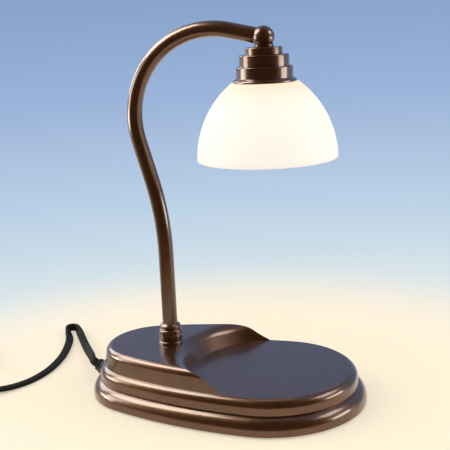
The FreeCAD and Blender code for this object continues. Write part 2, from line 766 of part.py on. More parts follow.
def bulb_reflector():
    steps = 6
    full = reflector_top - (bulb_face + 3.4)
    w = bulb_glass_wall

    def p(radius, z):
        return Vector(head_x + radius, 0, z)

    outer = [p(reflector_wall(reflector_top - full * (k / steps) ** 2, 0), reflector_top - full * (k / steps) ** 2)
             for k in range(steps + 1)]
    inner = [p(v.x - head_x - w, v.z - w * 0.6) for v in outer[:-1]] + [p(bulb_radius - w - 0.5, bulb_face + 2.9)]
    curve_out, curve_in = Part.BSplineCurve(), Part.BSplineCurve()
    curve_out.interpolate(outer)
    curve_in.interpolate(inner)

    def line(a, b):
        return Part.LineSegment(a, b).toShape()

    neck = p(6.2, reflector_top)
    neck_low = p(6.2, inner[0].z)
    ring = [outer[-1], p(bulb_radius, bulb_face), p(bulb_radius - w, bulb_face), p(bulb_radius - w, bulb_face + 2.9),
            inner[-1]]
    edges = [line(neck, outer[0]), curve_out.toShape()]
    edges += [line(a, b) for a, b in zip(ring, ring[1:])]
    edges += [curve_in.toShape(), line(inner[0], neck_low), line(neck_low, neck)]
    return turned_edges(edges, head_x)


def bulb_lens():
    lens = cylinder(bulb_radius - bulb_glass_wall - 0.05, 2.0, Vector(head_x, 0, bulb_face + 0.8))
    return lens


def bulb_capsule():
    """Halogen capsule standing in the reflector's neck: a tube with a domed tip."""
    radius, length = 5.0, 21.0
    body = cylinder(radius, length - radius, Vector(head_x, 0, reflector_top - length + radius))
    return body.fuse(Part.makeSphere(radius, Vector(head_x, 0, reflector_top - length + radius))).removeSplitter()


# ---------------------------------------------------------------- cord routes
def smooth_route(points, radii):
    """Straight runs joined by tangent arcs: each arc takes 0.45 of the shorter run beside its point."""
    edges = []
    last = points[0]
    for before, corner, after in zip(points, points[1:], points[2:]):
        incoming = (corner - before).normalize()
        outgoing = (after - corner).normalize()
        half_turn = math.acos(max(-1.0, min(1.0, incoming.dot(outgoing)))) / 2
        reach = 0.45 * min((corner - before).Length, (after - corner).Length)
        radius = reach / math.tan(half_turn)
        radii.append(radius)
        start = corner - incoming * reach
        end = corner + outgoing * reach
        inward = (outgoing - incoming).normalize()
        middle = corner + inward * (radius / math.cos(half_turn) - radius)
        edges.append(Part.LineSegment(last, start).toShape())
        edges.append(Part.Arc(start, middle, end).toShape())
        last = end
    edges.append(Part.LineSegment(last, points[-1]).toShape())
    return edges


def cord_tube(name, points, radius):
    radii = []
    edges = smooth_route(points, radii)
    length = sum(edge.Length for edge in edges)
    solid = swept(edges, radius)
    share = solid.Volume / (math.pi * radius ** 2 * length)
    print(f"{name}: length {length:.0f} mm, volume share {share:.3f}, radii "
          + " ".join(f"{r:.0f}" for r in radii))
    return solid, length


def route(rows):
    """Points of a route, given from the base's rear edge."""
    return [rear_edge + Vector(*row) for row in rows]


switch_start, plug_start, coil_centre = rear_edge + switch_place, rear_edge + plug_place, rear_edge + coil_place
switch_direction = Vector(math.cos(math.radians(switch_heading)), math.sin(math.radians(switch_heading)), 0)
switch_entry = switch_start + UP * switch_split
switch_exit = switch_start + switch_direction * switch_length + UP * switch_split
plug_entry = plug_start + UP * (plug_height / 2)

lead_to_switch = [cord_exit, cord_exit + bushing_axis * 5.0] + route([
    (-9.35, 5.8, 18.2), (-16.35, 16.5, 16.0), (-27.15, 32.5, 13.0), (-38.85, 50.2, 9.9),
    (-51.25, 69.3, 7.0), (-63.05, 87.4, 4.8), (-73.85, 103.0, 3.7), (-79.65, 110.1, 3.4),
    (-84.55, 109.6, 3.4), (-86.55, 105.1, 3.4), (-81.85, 97.9, 3.4), (-71.85, 82.4, 3.4),
    (-64.15, 63.5, 3.4), (-58.15, 44.3, 3.4), (-54.65, 27.8, 3.4), (-53.05, 11.6, 3.4),
    (-54.05, -4.0, 3.4), (-57.85, -18.4, 3.4), (-65.45, -32.6, 3.6), (-76.65, -45.0, 5.0)])
lead_to_switch += [switch_entry - switch_direction * 10, switch_entry]
lead_to_coil = [switch_exit, switch_exit + switch_direction * 9] + route([
    (-177.25, -94.0, 6.6), (-191.25, -92.6, 4.6), (-202.25, -83.4, 3.4), (-208.25, -69.0, 3.4),
    (-209.25, -52.0, 3.4), (-207.25, -34.6, 3.4), (-204.85, -16.0, 3.4)])
lead_to_plug = route([(-200.95, 9.0, 9.0), (-200.65, 23.0, 8.2), (-199.45, 37.0, 7.2)])
lead_to_plug += [plug_entry - ACROSS * 10, plug_entry]

terminal_x = rear_edge.x + 24.75
terminal_size = Vector(16.0, 17.0, 11.0)
terminal_foot = ballast_bottom + ballast_thickness
lead_turn_reach = 2.0
lead_corner = bushing_seat - bushing_axis * (bushing_body_length + lead_turn_reach)


def base_lead():
    """Lead from the strain relief's mouth down to the terminal block."""
    turn_start = bushing_seat - bushing_axis * bushing_body_length
    turn_end = lead_corner + LENGTHWISE * lead_turn_reach
    half_turn = math.radians(bushing_tilt / 2)
    turn_radius = lead_turn_reach / math.tan(half_turn)
    outward = (turn_end - lead_corner).normalize() + bushing_axis
    outward.normalize()
    turn_middle = lead_corner + outward * (turn_radius / math.cos(half_turn) - turn_radius)
    path = [Part.LineSegment(cord_exit, turn_start).toShape(),
            Part.Arc(turn_start, turn_middle, turn_end).toShape(),
            Part.LineSegment(turn_end, Vector(terminal_x, 0, lead_corner.z)).toShape()]
    return bent_rod(path, lead_radius)


def arm_lead():
    """Lead from the terminal block, up the arm, round the ball's elbow and down into the lampholder."""
    start = Vector(terminal_x + terminal_size.x, 0, lead_corner.z + 2.0)
    turn_radius = 9.0
    turn_start = Vector(neck_x - turn_radius, 0, start.z)
    turn_end = Vector(neck_x, 0, start.z + turn_radius)
    quarter = math.cos(math.radians(45)) * turn_radius
    turn_middle = Vector(neck_x - turn_radius + quarter, 0, start.z + turn_radius - quarter)
    elbow_radius = 3.0
    elbow_turn = math.pi / 2 - drop
    reach = elbow_radius * math.tan(elbow_turn / 2)
    elbow_start = ball_centre - arm_end_direction * reach
    elbow_end = ball_centre - UP * reach
    inward = (UP * -1 - arm_end_direction).normalize()
    elbow_middle = ball_centre + inward * (elbow_radius / math.cos(elbow_turn / 2) - elbow_radius)
    path = [Part.LineSegment(start, turn_start).toShape(), Part.Arc(turn_start, turn_middle, turn_end).toShape()]
    path += arm_path(turn_end.z, elbow_start)
    path.append(Part.Arc(elbow_start, elbow_middle, elbow_end).toShape())
    path.append(Part.LineSegment(elbow_end, Vector(head_x, 0, holder_top - wire_room_depth + 0.8)).toShape())
    return bent_rod(path, lead_radius)


def terminal_block():
    corner = Vector(terminal_x, -terminal_size.y / 2, terminal_foot)
    block = Part.makeBox(terminal_size.x, terminal_size.y, terminal_size.z, corner)
    block = block.makeFillet(1.2, [e for e in block.Edges if abs(e.BoundBox.ZLength - terminal_size.z) < 1e-3])
    for y in (-4.2, 4.2):
        well = Vector(terminal_x + terminal_size.x / 2, y, terminal_foot + terminal_size.z - 4.5)
        block = block.cut(cylinder(2.0, 4.5, well))
    return block


def terminal_screws():
    screws = []
    for y in (-4.2, 4.2):
        foot = Vector(terminal_x + terminal_size.x / 2, y, terminal_foot + terminal_size.z - 4.5)
        head = cylinder(1.8, 3.4, foot)
        slot = Part.makeBox(3.6, 0.6, 0.8, foot + Vector(-1.8, -0.3, 2.6))
        screws.append(head.cut(slot))
    return Part.makeCompound(screws)


# ---------------------------------------------------------------- in-line switch
def in_switch_place(shape):
    shape.rotate(Vector(), UP, switch_heading)
    shape.translate(switch_start)
    return shape


def switch_blank(grow):
    """Switch body in its own frame, mouth at x = 0: a pillow that narrows to both ends."""
    half = switch_width / 2 - grow
    end_half = 6.2 - grow
    taper = 9.0
    first, last = grow, switch_length - grow
    points = [Vector(first, -end_half, grow), Vector(taper, -half, grow), Vector(switch_length - taper, -half, grow),
              Vector(last, -end_half, grow), Vector(last, end_half, grow), Vector(switch_length - taper, half, grow),
              Vector(taper, half, grow), Vector(first, end_half, grow)]
    blank = polygon_face(points).extrude(Vector(0, 0, switch_height - 2 * grow))
    upright = [e for e in blank.Edges if abs(e.BoundBox.ZLength - (switch_height - 2 * grow)) < 1e-3]
    blank = blank.makeFillet(max(2.6 - grow, 0.6), upright)
    return round_edges(blank, max(2.4 - grow, 0.4), at_height(switch_height - grow))


switch_middle = switch_length / 2
switch_screw_x = (12.5, switch_length - 12.5)
rocker_slot_length = rocker_length + 2.6
rocker_slot_width = rocker_width + 0.9


def switch_base():
    lower = Part.makeBox(switch_length, switch_width, switch_split, Vector(0, -switch_width / 2, 0))
    shell = switch_blank(0).common(lower).cut(switch_blank(switch_wall))
    posts = [tube(3.0, 1.0 + running_gap, switch_split - switch_wall, Vector(x, 0, switch_wall))
             for x in switch_screw_x]
    supports = [Part.makeBox(5.0, 8.0, 1.4, Vector(switch_middle + side * 8.5 - 2.5, -4.0, switch_wall))
                for side in (1, -1)]
    shell = fuse_all([shell] + posts + supports)
    for x in switch_screw_x:
        shell = shell.cut(cylinder(1.0 + running_gap, switch_wall + 1, Vector(x, 0, 0)))
        shell = shell.cut(cylinder(2.2, 1.4, Vector(x, 0, 0)))
    return in_switch_place(shell)


def switch_lid():
    upper = Part.makeBox(switch_length, switch_width, switch_height, Vector(0, -switch_width / 2, switch_split))
    shell = switch_blank(0).common(upper).cut(switch_blank(switch_wall))
    ceiling = switch_height - switch_wall
    lugs = []
    for side in (1, -1):
        inner = rocker_slot_width / 2
        lug = Part.makeBox(7.0, 2.2, ceiling - rocker_pivot_height + 3.2,
                           Vector(switch_middle - 3.5, inner if side > 0 else -inner - 2.2,
                                  rocker_pivot_height - 3.2))
        lugs.append(lug)
    posts = [cylinder(3.0, ceiling - switch_split, Vector(x, 0, switch_split)) for x in switch_screw_x]
    shell = fuse_all([shell] + lugs + posts)
    opening = Part.makeBox(rocker_slot_length, rocker_slot_width, 2 * switch_wall,
                           Vector(switch_middle - rocker_slot_length / 2, -rocker_slot_width / 2, ceiling - 1))
    shell = shell.cut(opening)
    bore_foot = Vector(switch_middle, -switch_width / 2 + switch_wall + 1, rocker_pivot_height)
    shell = shell.cut(cylinder(trunnion_radius + running_gap, switch_width - 2 * switch_wall - 2, bore_foot, ACROSS))
    for x in switch_screw_x:
        shell = shell.cut(cylinder(0.9 + running_gap, ceiling - switch_split - 1, Vector(x, 0, switch_split)))
    return in_switch_place(shell)


def switch_screws():
    screws = []
    for x in switch_screw_x:
        head = cylinder(1.9, 1.1, Vector(x, 0, 0.3))
        cross = Part.makeBox(2.6, 0.5, 0.5, Vector(x - 1.3, -0.25, 0.3))
        shank = cylinder(0.9, switch_height - switch_wall - 3.4, Vector(x, 0, 1.4))
        screws.append(head.cut(cross).fuse(shank))
    return in_switch_place(Part.makeCompound(screws))


def switch_rocker():
    """Rocker with a shallow valley on top and a trunnion each side, tipped to its on position."""
    half = rocker_length / 2
    p = rocker_pivot_height
    outline = [(-5.2, p - 2.6), (5.2, p - 2.6), (half, p + 0.4), (half, p + 5.4), (0, p + 4.0),
               (-half, p + 5.4), (-half, p + 0.4)]
    face = polygon_face([Vector(switch_middle + x, -rocker_width / 2, z) for x, z in outline])
    body = face.extrude(Vector(0, rocker_width, 0))
    body = round_edges(body, 0.5, lambda e: e.BoundBox.ZMin > p + 3.9 and abs(e.BoundBox.YLength) < 1e-3)
    reach = rocker_slot_width / 2 + 1.8
    trunnion = cylinder(trunnion_radius, 2 * reach, Vector(switch_middle, -reach, p), ACROSS)
    keel = Part.makeBox(2.4, 3.0, 3.6, Vector(switch_middle - 1.2, -1.5, p - 5.6))
    rocker = fuse_all([body, trunnion, keel])
    rocker.rotate(Vector(switch_middle, 0, p), ACROSS, rocker_tilt)
    return in_switch_place(rocker)


def switch_contacts():
    """Brass strips on the lower shell's supports, turned up towards the rocker's keel."""
    strips = []
    for side in (1, -1):
        x = switch_middle + side * 8.5
        foot = Part.makeBox(5.0, 6.0, 0.8, Vector(x - 2.5, -3.0, switch_wall + 1.4))
        upright = Part.makeBox(0.8, 6.0, 3.2, Vector(x - side * 2.1 - 0.4, -3.0, switch_wall + 2.2))
        strips.append(foot.fuse(upright).removeSplitter())
    return in_switch_place(Part.makeCompound(strips))


# ---------------------------------------------------------------- plug, coil and tie
def in_plug_place(shape):
    shape.rotate(Vector(), UP, 90)
    shape.translate(plug_start)
    return shape


def plug_body():
    """Moulded flat plug in its own frame: a tapered grip that widens to the blade face."""
    profile = [Vector(0, -4.5, 0), Vector(9, -6.5, 0), Vector(18, -plug_width / 2, 0),
               Vector(plug_length, -plug_width / 2, 0), Vector(plug_length, plug_width / 2, 0),
               Vector(18, plug_width / 2, 0), Vector(9, 6.5, 0), Vector(0, 4.5, 0)]
    body = polygon_face(profile).extrude(Vector(0, 0, plug_height))
    upright = [e for e in body.Edges if abs(e.BoundBox.ZLength - plug_height) < 1e-3
               and e.BoundBox.XMin > 1 and e.BoundBox.XMax < plug_length - 1]
    body = body.makeFillet(3.0, upright)
    body = round_edges(body, 2.0, at_height(plug_height))
    for side, width in zip((1, -1), blade_widths):
        y = side * blade_spacing / 2
        body = body.cut(Part.makeBox(5.0, blade_thickness, width,
                                     Vector(plug_length - 5, y - blade_thickness / 2, plug_height / 2 - width / 2)))
    return in_plug_place(body)


def plug_blades():
    blades = []
    for side, width in zip((1, -1), blade_widths):
        y = side * blade_spacing / 2
        blade = Part.makeBox(blade_length + 5, blade_thickness, width,
                             Vector(plug_length - 5, y - blade_thickness / 2, plug_height / 2 - width / 2))
        tip = [e for e in blade.Edges if abs(e.BoundBox.YLength - blade_thickness) < 1e-3
               and e.BoundBox.XMin > plug_length + 1]
        blade = blade.makeFillet(1.2, tip)
        hole = cylinder(1.5, 2 * blade_thickness,
                        Vector(plug_length + blade_length - 4.5, y - blade_thickness, plug_height / 2), ACROSS)
        blades.append(blade.cut(hole))
    return in_plug_place(Part.makeCompound(blades))


def tie_band():
    """Strap round the bundle on the side away from the leads, before the bundle is turned into place."""
    half = coil_width / 2
    band = Part.makeBox(coil_width + 2 * tie_thickness, tie_width, coil_height + tie_thickness,
                        Vector(coil_radius - half - tie_thickness, -tie_width / 2, 0))
    hollow = Part.makeBox(coil_width, tie_width, coil_height - tie_thickness,
                          Vector(coil_radius - half, -tie_width / 2, tie_thickness))
    return band.cut(hollow)


def coil_bundle():
    half = coil_width / 2
    section = polygon_face([Vector(coil_radius - half, 0, 0), Vector(coil_radius + half, 0, 0),
                            Vector(coil_radius + half, 0, coil_height), Vector(coil_radius - half, 0, coil_height)])
    ring = section.revolve(Vector(), UP, 360)
    return round_edges(ring, 2.6, lambda e: e.BoundBox.ZLength < 1e-3)


def cord_coil():
    coil = coil_bundle().cut(tie_band())
    coil.translate(coil_centre)
    return coil


def coil_tie():
    tie = tie_band()
    tie.translate(coil_centre)
    return tie


# ---------------------------------------------------------------- write the nodes
def main():
    os.makedirs("parts", exist_ok=True)
    lead_a, length_a = cord_tube("cord_to_switch", lead_to_switch, cord_radius)
    lead_b, length_b = cord_tube("cord_to_coil", lead_to_coil, cord_radius)
    lead_c, length_c = cord_tube("cord_to_plug", lead_to_plug, cord_radius)
    wound = cord_total - length_a - length_b - length_c - switch_length
    print(f"wound in the coil: {wound:.0f} mm, {wound / (2 * math.pi * coil_radius):.2f} turns")
    nodes = {
        "base_housing": base_housing(), "base_cover": base_cover(), "cover_screws": cover_screws(),
        "base_feet": base_feet(), "ballast_plate": ballast_plate(), "cord_bushing": cord_bushing(),
        "neck_nipple": neck_nipple(), "neck_washer": neck_washer(), "neck_nut": neck_nut(),
        "neck_collar": neck_collar(), "arm_tube": arm_tube(), "ball_fitting": ball_fitting(),
        "head_nipple": head_nipple(), "head_nut": head_nut(), "shade_cap": shade_cap(),
        "holder_carrier": holder_carrier(), "shade": shade(), "shade_washer": shade_washer(),
        "shade_ring": shade_ring(), "lampholder": lampholder(), "holder_screws": holder_screws(),
        "holder_contacts": holder_contacts(), "bulb_base": bulb_base(), "bulb_pins": bulb_pins(),
        "bulb_reflector": bulb_reflector(), "bulb_lens": bulb_lens(), "bulb_capsule": bulb_capsule(),
        "base_lead": base_lead(), "arm_lead": arm_lead(), "terminal_block": terminal_block(),
        "terminal_screws": terminal_screws(), "cord_to_switch": lead_a, "switch_base": switch_base(),
        "switch_lid": switch_lid(), "switch_screws": switch_screws(), "switch_rocker": switch_rocker(),
        "switch_contacts": switch_contacts(), "cord_to_coil": lead_b, "cord_coil": cord_coil(),
        "coil_tie": coil_tie(), "cord_to_plug": lead_c, "plug_body": plug_body(), "plug_blades": plug_blades(),
    }
    for name, shape in nodes.items():
        shape.exportStep(f"parts/{name}.step")
    print(f"{len(nodes)} nodes, head axis x {head_x:.2f}, cap top {cap_top:.2f}, shade rim {shade_rim:.2f}")
    for name, shape in nodes.items():
        if not shape.isValid() or shape.Volume <= 0 or not shape.Solids:
            print("CHECK", name, "valid", shape.isValid(), "volume", shape.Volume, "solids", len(shape.Solids))


main()
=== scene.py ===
import math

import bmesh
import bpy
from mathutils import Matrix, Vector


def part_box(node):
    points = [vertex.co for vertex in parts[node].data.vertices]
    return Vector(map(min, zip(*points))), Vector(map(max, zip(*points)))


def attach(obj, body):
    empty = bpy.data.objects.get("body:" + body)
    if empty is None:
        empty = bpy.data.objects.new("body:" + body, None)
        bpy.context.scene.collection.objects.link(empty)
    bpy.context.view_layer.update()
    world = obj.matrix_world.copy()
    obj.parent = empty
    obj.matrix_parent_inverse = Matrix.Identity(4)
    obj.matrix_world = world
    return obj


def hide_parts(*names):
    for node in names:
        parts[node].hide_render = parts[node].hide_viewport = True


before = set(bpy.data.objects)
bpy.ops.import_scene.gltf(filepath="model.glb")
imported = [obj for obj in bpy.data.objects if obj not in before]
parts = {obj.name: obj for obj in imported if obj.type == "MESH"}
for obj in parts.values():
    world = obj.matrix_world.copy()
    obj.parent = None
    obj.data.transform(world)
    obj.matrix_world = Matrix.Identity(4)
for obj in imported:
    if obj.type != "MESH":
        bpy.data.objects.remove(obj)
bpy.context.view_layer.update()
scene = bpy.context.scene
link = scene.collection.objects.link


# ---- Viewpoint -----------------------------------------------
# A long lens from the front left, a little above the table, so that the arm stands to the left
# of the shade and the switch end of the base lies behind it.
view = bpy.data.cameras.new("view")
view.lens = 75.573
view.sensor_width = 36
view_right = Vector((0.94414, 0.32645, -0.04512))
view_up = Vector((-0.0300, 0.22148, 0.97470))
view_ahead = Vector((-0.32819, 0.91890, -0.21890))
eye = bpy.data.objects.new("view", view)
turned_to = Matrix((view_right, view_up, -view_ahead)).transposed().to_4x4()
eye.matrix_world = Matrix.Translation((0.22802, -0.62556, 0.28019)) @ turned_to
link(eye)
scene.camera = eye
scene.view_settings.view_transform = "Standard"


# ---- Room: backdrop, table and studio lamps ------------------
# The backdrop is a paper sweep, blue above and cream below; in the gloss it stands behind the lamp
# and the near side of the room is unlit. Four soft panels light the part, and six cards that only
# its gloss sees draw the bright lines along its mouldings.
def colour(red, green, blue):
    """A shade as a maker's colour chart gives it, 0 to 255, for a shader's socket."""
    shares = [c / 255 for c in (red, green, blue)]
    return (*(c / 12.92 if c < 0.04045 else ((c + 0.055) / 1.055) ** 2.4 for c in shares), 1.0)


def wired(*wires):
    """Joins sockets of a node tree: each wire runs from an output to an input."""
    for start, end in wires:
        start.id_data.links.new(start, end)


def either_of(first, second):
    """The larger of two values between 0 and 1: 1 where either of them holds."""
    larger = first.id_data.nodes.new("ShaderNodeMath")
    larger.operation = "MAXIMUM"
    wired((first, larger.inputs[0]), (second, larger.inputs[1]))
    return larger.outputs[0]


def fading(value, start, end):
    """A smooth fade from 0 where a value is at start to 1 where it is at end."""
    fade = value.id_data.nodes.new("ShaderNodeMapRange")
    fade.interpolation_type = "SMOOTHSTEP"
    fade.inputs["From Min"].default_value = start
    fade.inputs["From Max"].default_value = end
    wired((value, fade.inputs["Value"]))
    return fade.outputs["Result"]


room = bpy.data.worlds.new("studio")
scene.world = room
room.use_nodes = True
nodes = room.node_tree.nodes
nodes.clear()
towards = nodes.new("ShaderNodeTexCoord")
compass = nodes.new("ShaderNodeSeparateXYZ")
sweep_low, sweep_high = -0.4, 0.4
span = nodes.new("ShaderNodeMapRange")
span.inputs["From Min"].default_value = sweep_low
span.inputs["From Max"].default_value = sweep_high
sweep = nodes.new("ShaderNodeValToRGB")
paper_shades = [                      # how far up the sweep it is seen, and its shade there
    (-0.4, (254, 246, 225)), (-0.355, (255, 248, 239)), (-0.294, (226, 234, 236)), (-0.2436, (204, 221, 232)),
    (-0.1925, (187, 208, 230)), (-0.087, (156, 180, 217)), (0.0087, (138, 164, 203)), (0.2, (128, 152, 190))]
for n, (rise, shade) in enumerate(paper_shades):
    stop = sweep.color_ramp.elements[n] if n < 2 else sweep.color_ramp.elements.new(1.0)
    stop.position = (rise - sweep_low) / (sweep_high - sweep_low)
    stop.color = colour(*shade)
paper = nodes.new("ShaderNodeBackground")
fill = nodes.new("ShaderNodeBackground")
fill.inputs["Color"].default_value = colour(250, 247, 242)
fill.inputs["Strength"].default_value = 0.52
rays = nodes.new("ShaderNodeLightPath").outputs
either = nodes.new("ShaderNodeMixShader")
dim = nodes.new("ShaderNodeMix")
dim.data_type = "RGBA"
unlit_side, lit_side, dimmed = dim.inputs[6], dim.inputs[7], dim.outputs[2]
unlit_side.default_value = colour(46, 40, 38)
out = nodes.new("ShaderNodeOutputWorld")
far_side = fading(compass.outputs["Y"], -0.35, 0.25)
seen_or_gloss = either_of(rays["Is Camera Ray"], rays["Is Glossy Ray"])
wired(
    (towards.outputs["Generated"], compass.inputs[0]), (compass.outputs["Z"], span.inputs["Value"]),
    (span.outputs["Result"], sweep.inputs["Fac"]), (sweep.outputs["Color"], lit_side),
    (either_of(far_side, rays["Is Camera Ray"]), dim.inputs[0]),
    (dimmed, paper.inputs["Color"]),
    (either_of(seen_or_gloss, rays["Is Transmission Ray"]), either.inputs["Fac"]),
    (fill.outputs[0], either.inputs[1]), (paper.outputs[0], either.inputs[2]),
    (either.outputs[0], out.inputs["Surface"]))


def placed(bm, name):
    """Puts a modelled mesh into the scene as a piece of its own."""
    mesh = bpy.data.meshes.new(name)
    bm.to_mesh(mesh)
    bm.free()
    piece = bpy.data.objects.new(name, mesh)
    link(piece)
    return piece


bm = bmesh.new()
bmesh.ops.create_circle(bm, cap_ends=True, segments=96, radius=0.8)
table = placed(bm, "table")
table_paper = bpy.data.materials.new("table_paper")
table_paper.use_nodes = True
nodes = table_paper.node_tree.nodes
nodes.clear()
place = nodes.new("ShaderNodeTexCoord")
reach = nodes.new("ShaderNodeVectorMath")
reach.operation = "LENGTH"
matt = nodes.new("ShaderNodeBsdfDiffuse")
matt.inputs["Color"].default_value = colour(222, 212, 190)
glow = nodes.new("ShaderNodeEmission")
glow.inputs["Color"].default_value = colour(255, 247, 230)
glow.inputs["Strength"].default_value = 0.39
rays = nodes.new("ShaderNodeLightPath").outputs
lift = nodes.new("ShaderNodeMixShader")
lit = nodes.new("ShaderNodeAddShader")
clear = nodes.new("ShaderNodeBsdfTransparent")
rim = nodes.new("ShaderNodeMixShader")
side = nodes.new("ShaderNodeNewGeometry")
out = nodes.new("ShaderNodeOutputMaterial")
edge_fade = fading(reach.outputs["Value"], 0.17, 0.40)
wired(
    (place.outputs["Object"], reach.inputs[0]),
    (matt.outputs[0], lit.inputs[0]), (glow.outputs[0], lit.inputs[1]),
    (either_of(rays["Is Camera Ray"], rays["Is Glossy Ray"]), lift.inputs["Fac"]),
    (matt.outputs[0], lift.inputs[1]), (lit.outputs[0], lift.inputs[2]),
    (either_of(edge_fade, side.outputs["Backfacing"]), rim.inputs["Fac"]),
    (lift.outputs[0], rim.inputs[1]), (clear.outputs[0], rim.inputs[2]),
    (rim.outputs[0], out.inputs["Surface"]))
table.data.materials.append(table_paper)

lit_spot = Vector((0.0, 0.0, 0.14))
warm_white, card_white = (255, 242, 230), (246, 254, 246)
lamps = [                             # name, place, width, height, watts, tint, seen by the gloss alone
    ("left_panel", (-0.82, -0.20, 0.50), 0.80, 0.90, 3.8, warm_white, False),
    ("right_panel", (0.88, 0.20, 0.42), 0.90, 0.80, 2.9, warm_white, False),
    ("top_panel", (0.02, -0.15, 1.30), 0.90, 0.90, 2.2, (255, 252, 248), False),
    ("front_panel", (0.25, -0.90, 0.55), 0.60, 0.60, 1.2, (255, 246, 236), False),
    ("left_strip", (-0.77, -0.20, 0.26), 0.32, 0.38, 2.5, card_white, True),
    ("left_card", (-0.61, -0.10, 0.80), 0.44, 0.60, 7.6, card_white, True),
    ("left_low", (-0.80, -0.04, 0.13), 0.28, 0.12, 0.8, card_white, True),
    ("back_card", (-0.65, 0.31, 0.50), 0.36, 0.52, 2.5, card_white, True),
    ("right_strip", (0.74, 0.13, 0.15), 0.36, 0.15, 1.4, card_white, True),
    ("right_card", (0.74, 0.20, 0.72), 0.50, 0.30, 2.4, card_white, True)]
for name, place, width, tall, power, tint, gloss_alone in lamps:
    lamp = bpy.data.lights.new(name, "AREA")
    lamp.shape = "RECTANGLE"
    lamp.size = width
    lamp.size_y = tall
    lamp.energy = power
    lamp.color = colour(*tint)[:3]
    panel = bpy.data.objects.new(name, lamp)
    aim = (lit_spot - Vector(place)).to_track_quat("-Z", "Y")
    panel.matrix_world = Matrix.Translation(place) @ aim.to_matrix().to_4x4()
    panel.visible_glossy = gloss_alone
    panel.visible_diffuse = not gloss_alone
    panel.visible_camera = False
    link(panel)


# ---- Base housing --------------------------------------------
# One zinc die casting: skirt, bead and raised platform, with a round cove behind the candle's place.
# It is sprayed oil-rubbed bronze, a dark metallic lacquer under gloss, with a slight orange peel.
def new_finish(name, rough, metal=0.0):
    """A fresh finish, its shader, and the place on the piece that patterns start from."""
    finish = bpy.data.materials.new(name)
    finish.use_nodes = True
    nodes = finish.node_tree.nodes
    shader = nodes["Principled BSDF"]
    shader.inputs["Roughness"].default_value = rough
    shader.inputs["Metallic"].default_value = metal
    return finish, shader, nodes.new("ShaderNodeTexCoord").outputs["Object"]


def grain(place, size, detail=2.0, drawn=(1.0, 1.0, 1.0)):
    """Cloudy grain with blotches about size metres across, drawn out along an axis."""
    nodes = place.id_data.nodes
    spread = nodes.new("ShaderNodeMapping")
    spread.inputs["Scale"].default_value = [1 / (size * d) for d in drawn]
    noise = nodes.new("ShaderNodeTexNoise")
    noise.inputs["Scale"].default_value = 1.0
    noise.inputs["Detail"].default_value = detail
    wired((place, spread.inputs["Vector"]), (spread.outputs["Vector"], noise.inputs["Vector"]))
    return noise.outputs["Fac"]


def tinted(shader, pattern, *shades):
    """Colours the finish by a pattern, through shades given as (value, red, green, blue)."""
    ramp = shader.id_data.nodes.new("ShaderNodeValToRGB")
    for n, (value, *shade) in enumerate(shades):
        stop = ramp.color_ramp.elements[n] if n < 2 else ramp.color_ramp.elements.new(value)
        stop.position = value
        stop.color = colour(*shade)
    wired((pattern, ramp.inputs["Fac"]), (ramp.outputs["Color"], shader.inputs["Base Color"]))
    return ramp.outputs["Color"]


def dulled(shader, pattern, smooth, dull):
    """Varies the gloss with a pattern, from smooth where it is low to dull where it is high."""
    span = shader.id_data.nodes.new("ShaderNodeMapRange")
    span.inputs["From Min"].default_value = 0.3
    span.inputs["From Max"].default_value = 0.7
    span.inputs["To Min"].default_value = smooth
    span.inputs["To Max"].default_value = dull
    wired((pattern, span.inputs["Value"]), (span.outputs["Result"], shader.inputs["Roughness"]))


def relief(shader, pattern, depth, strength=1.0):
    """Raises the surface by a pattern, on top of any relief it has already."""
    bump = shader.id_data.nodes.new("ShaderNodeBump")
    bump.inputs["Distance"].default_value = depth
    bump.inputs["Strength"].default_value = strength
    under = shader.inputs["Normal"].links
    if under:
        wired((under[0].from_socket, bump.inputs["Normal"]))
    wired((pattern, bump.inputs["Height"]), (bump.outputs["Normal"], shader.inputs["Normal"]))


def flecked(place, cells_per_metre, share, cloud):
    """A cloudy pattern with small cells of random brightness scattered into it."""
    nodes = place.id_data.nodes
    cells = nodes.new("ShaderNodeTexVoronoi")
    cells.inputs["Scale"].default_value = cells_per_metre
    blend = nodes.new("ShaderNodeMath")
    blend.operation = "MULTIPLY_ADD"
    blend.inputs[1].default_value = share
    wired((place, cells.inputs["Vector"]), (cells.outputs["Color"], blend.inputs[0]),
          (cloud, blend.inputs[2]))
    return blend.outputs[0]


def oil_rubbed_bronze(name):
    """Dark metallic lacquer: mottled brown, a fine metal fleck and gloss with a slight orange peel."""
    finish, shader, place = new_finish(name, 0.3, 0.8)
    shader.inputs["Coat Weight"].default_value = 0.88
    shader.inputs["Coat IOR"].default_value = 1.62
    shader.inputs["Coat Roughness"].default_value = 0.15
    mottle = flecked(place, 1500.0, 0.22, grain(place, 0.014, 6.0))
    tinted(shader, mottle, (0.3, 87, 52, 26), (0.62, 96, 58, 30), (0.95, 106, 65, 35))
    dulled(shader, grain(place, 0.009, 4.0), 0.32, 0.38)
    relief(shader, grain(place, 0.0016, 1.0), 0.00002, 0.5)
    return finish, shader, place


def dress(node, finish):
    """Gives a CAD piece its finish."""
    for slot in parts[node].material_slots:
        slot.material = finish


def coat(piece, *finishes):
    """Gives a modelled piece its finishes, in the order of its faces' slots."""
    piece.data.materials.clear()
    for finish in finishes:
        piece.data.materials.append(finish)


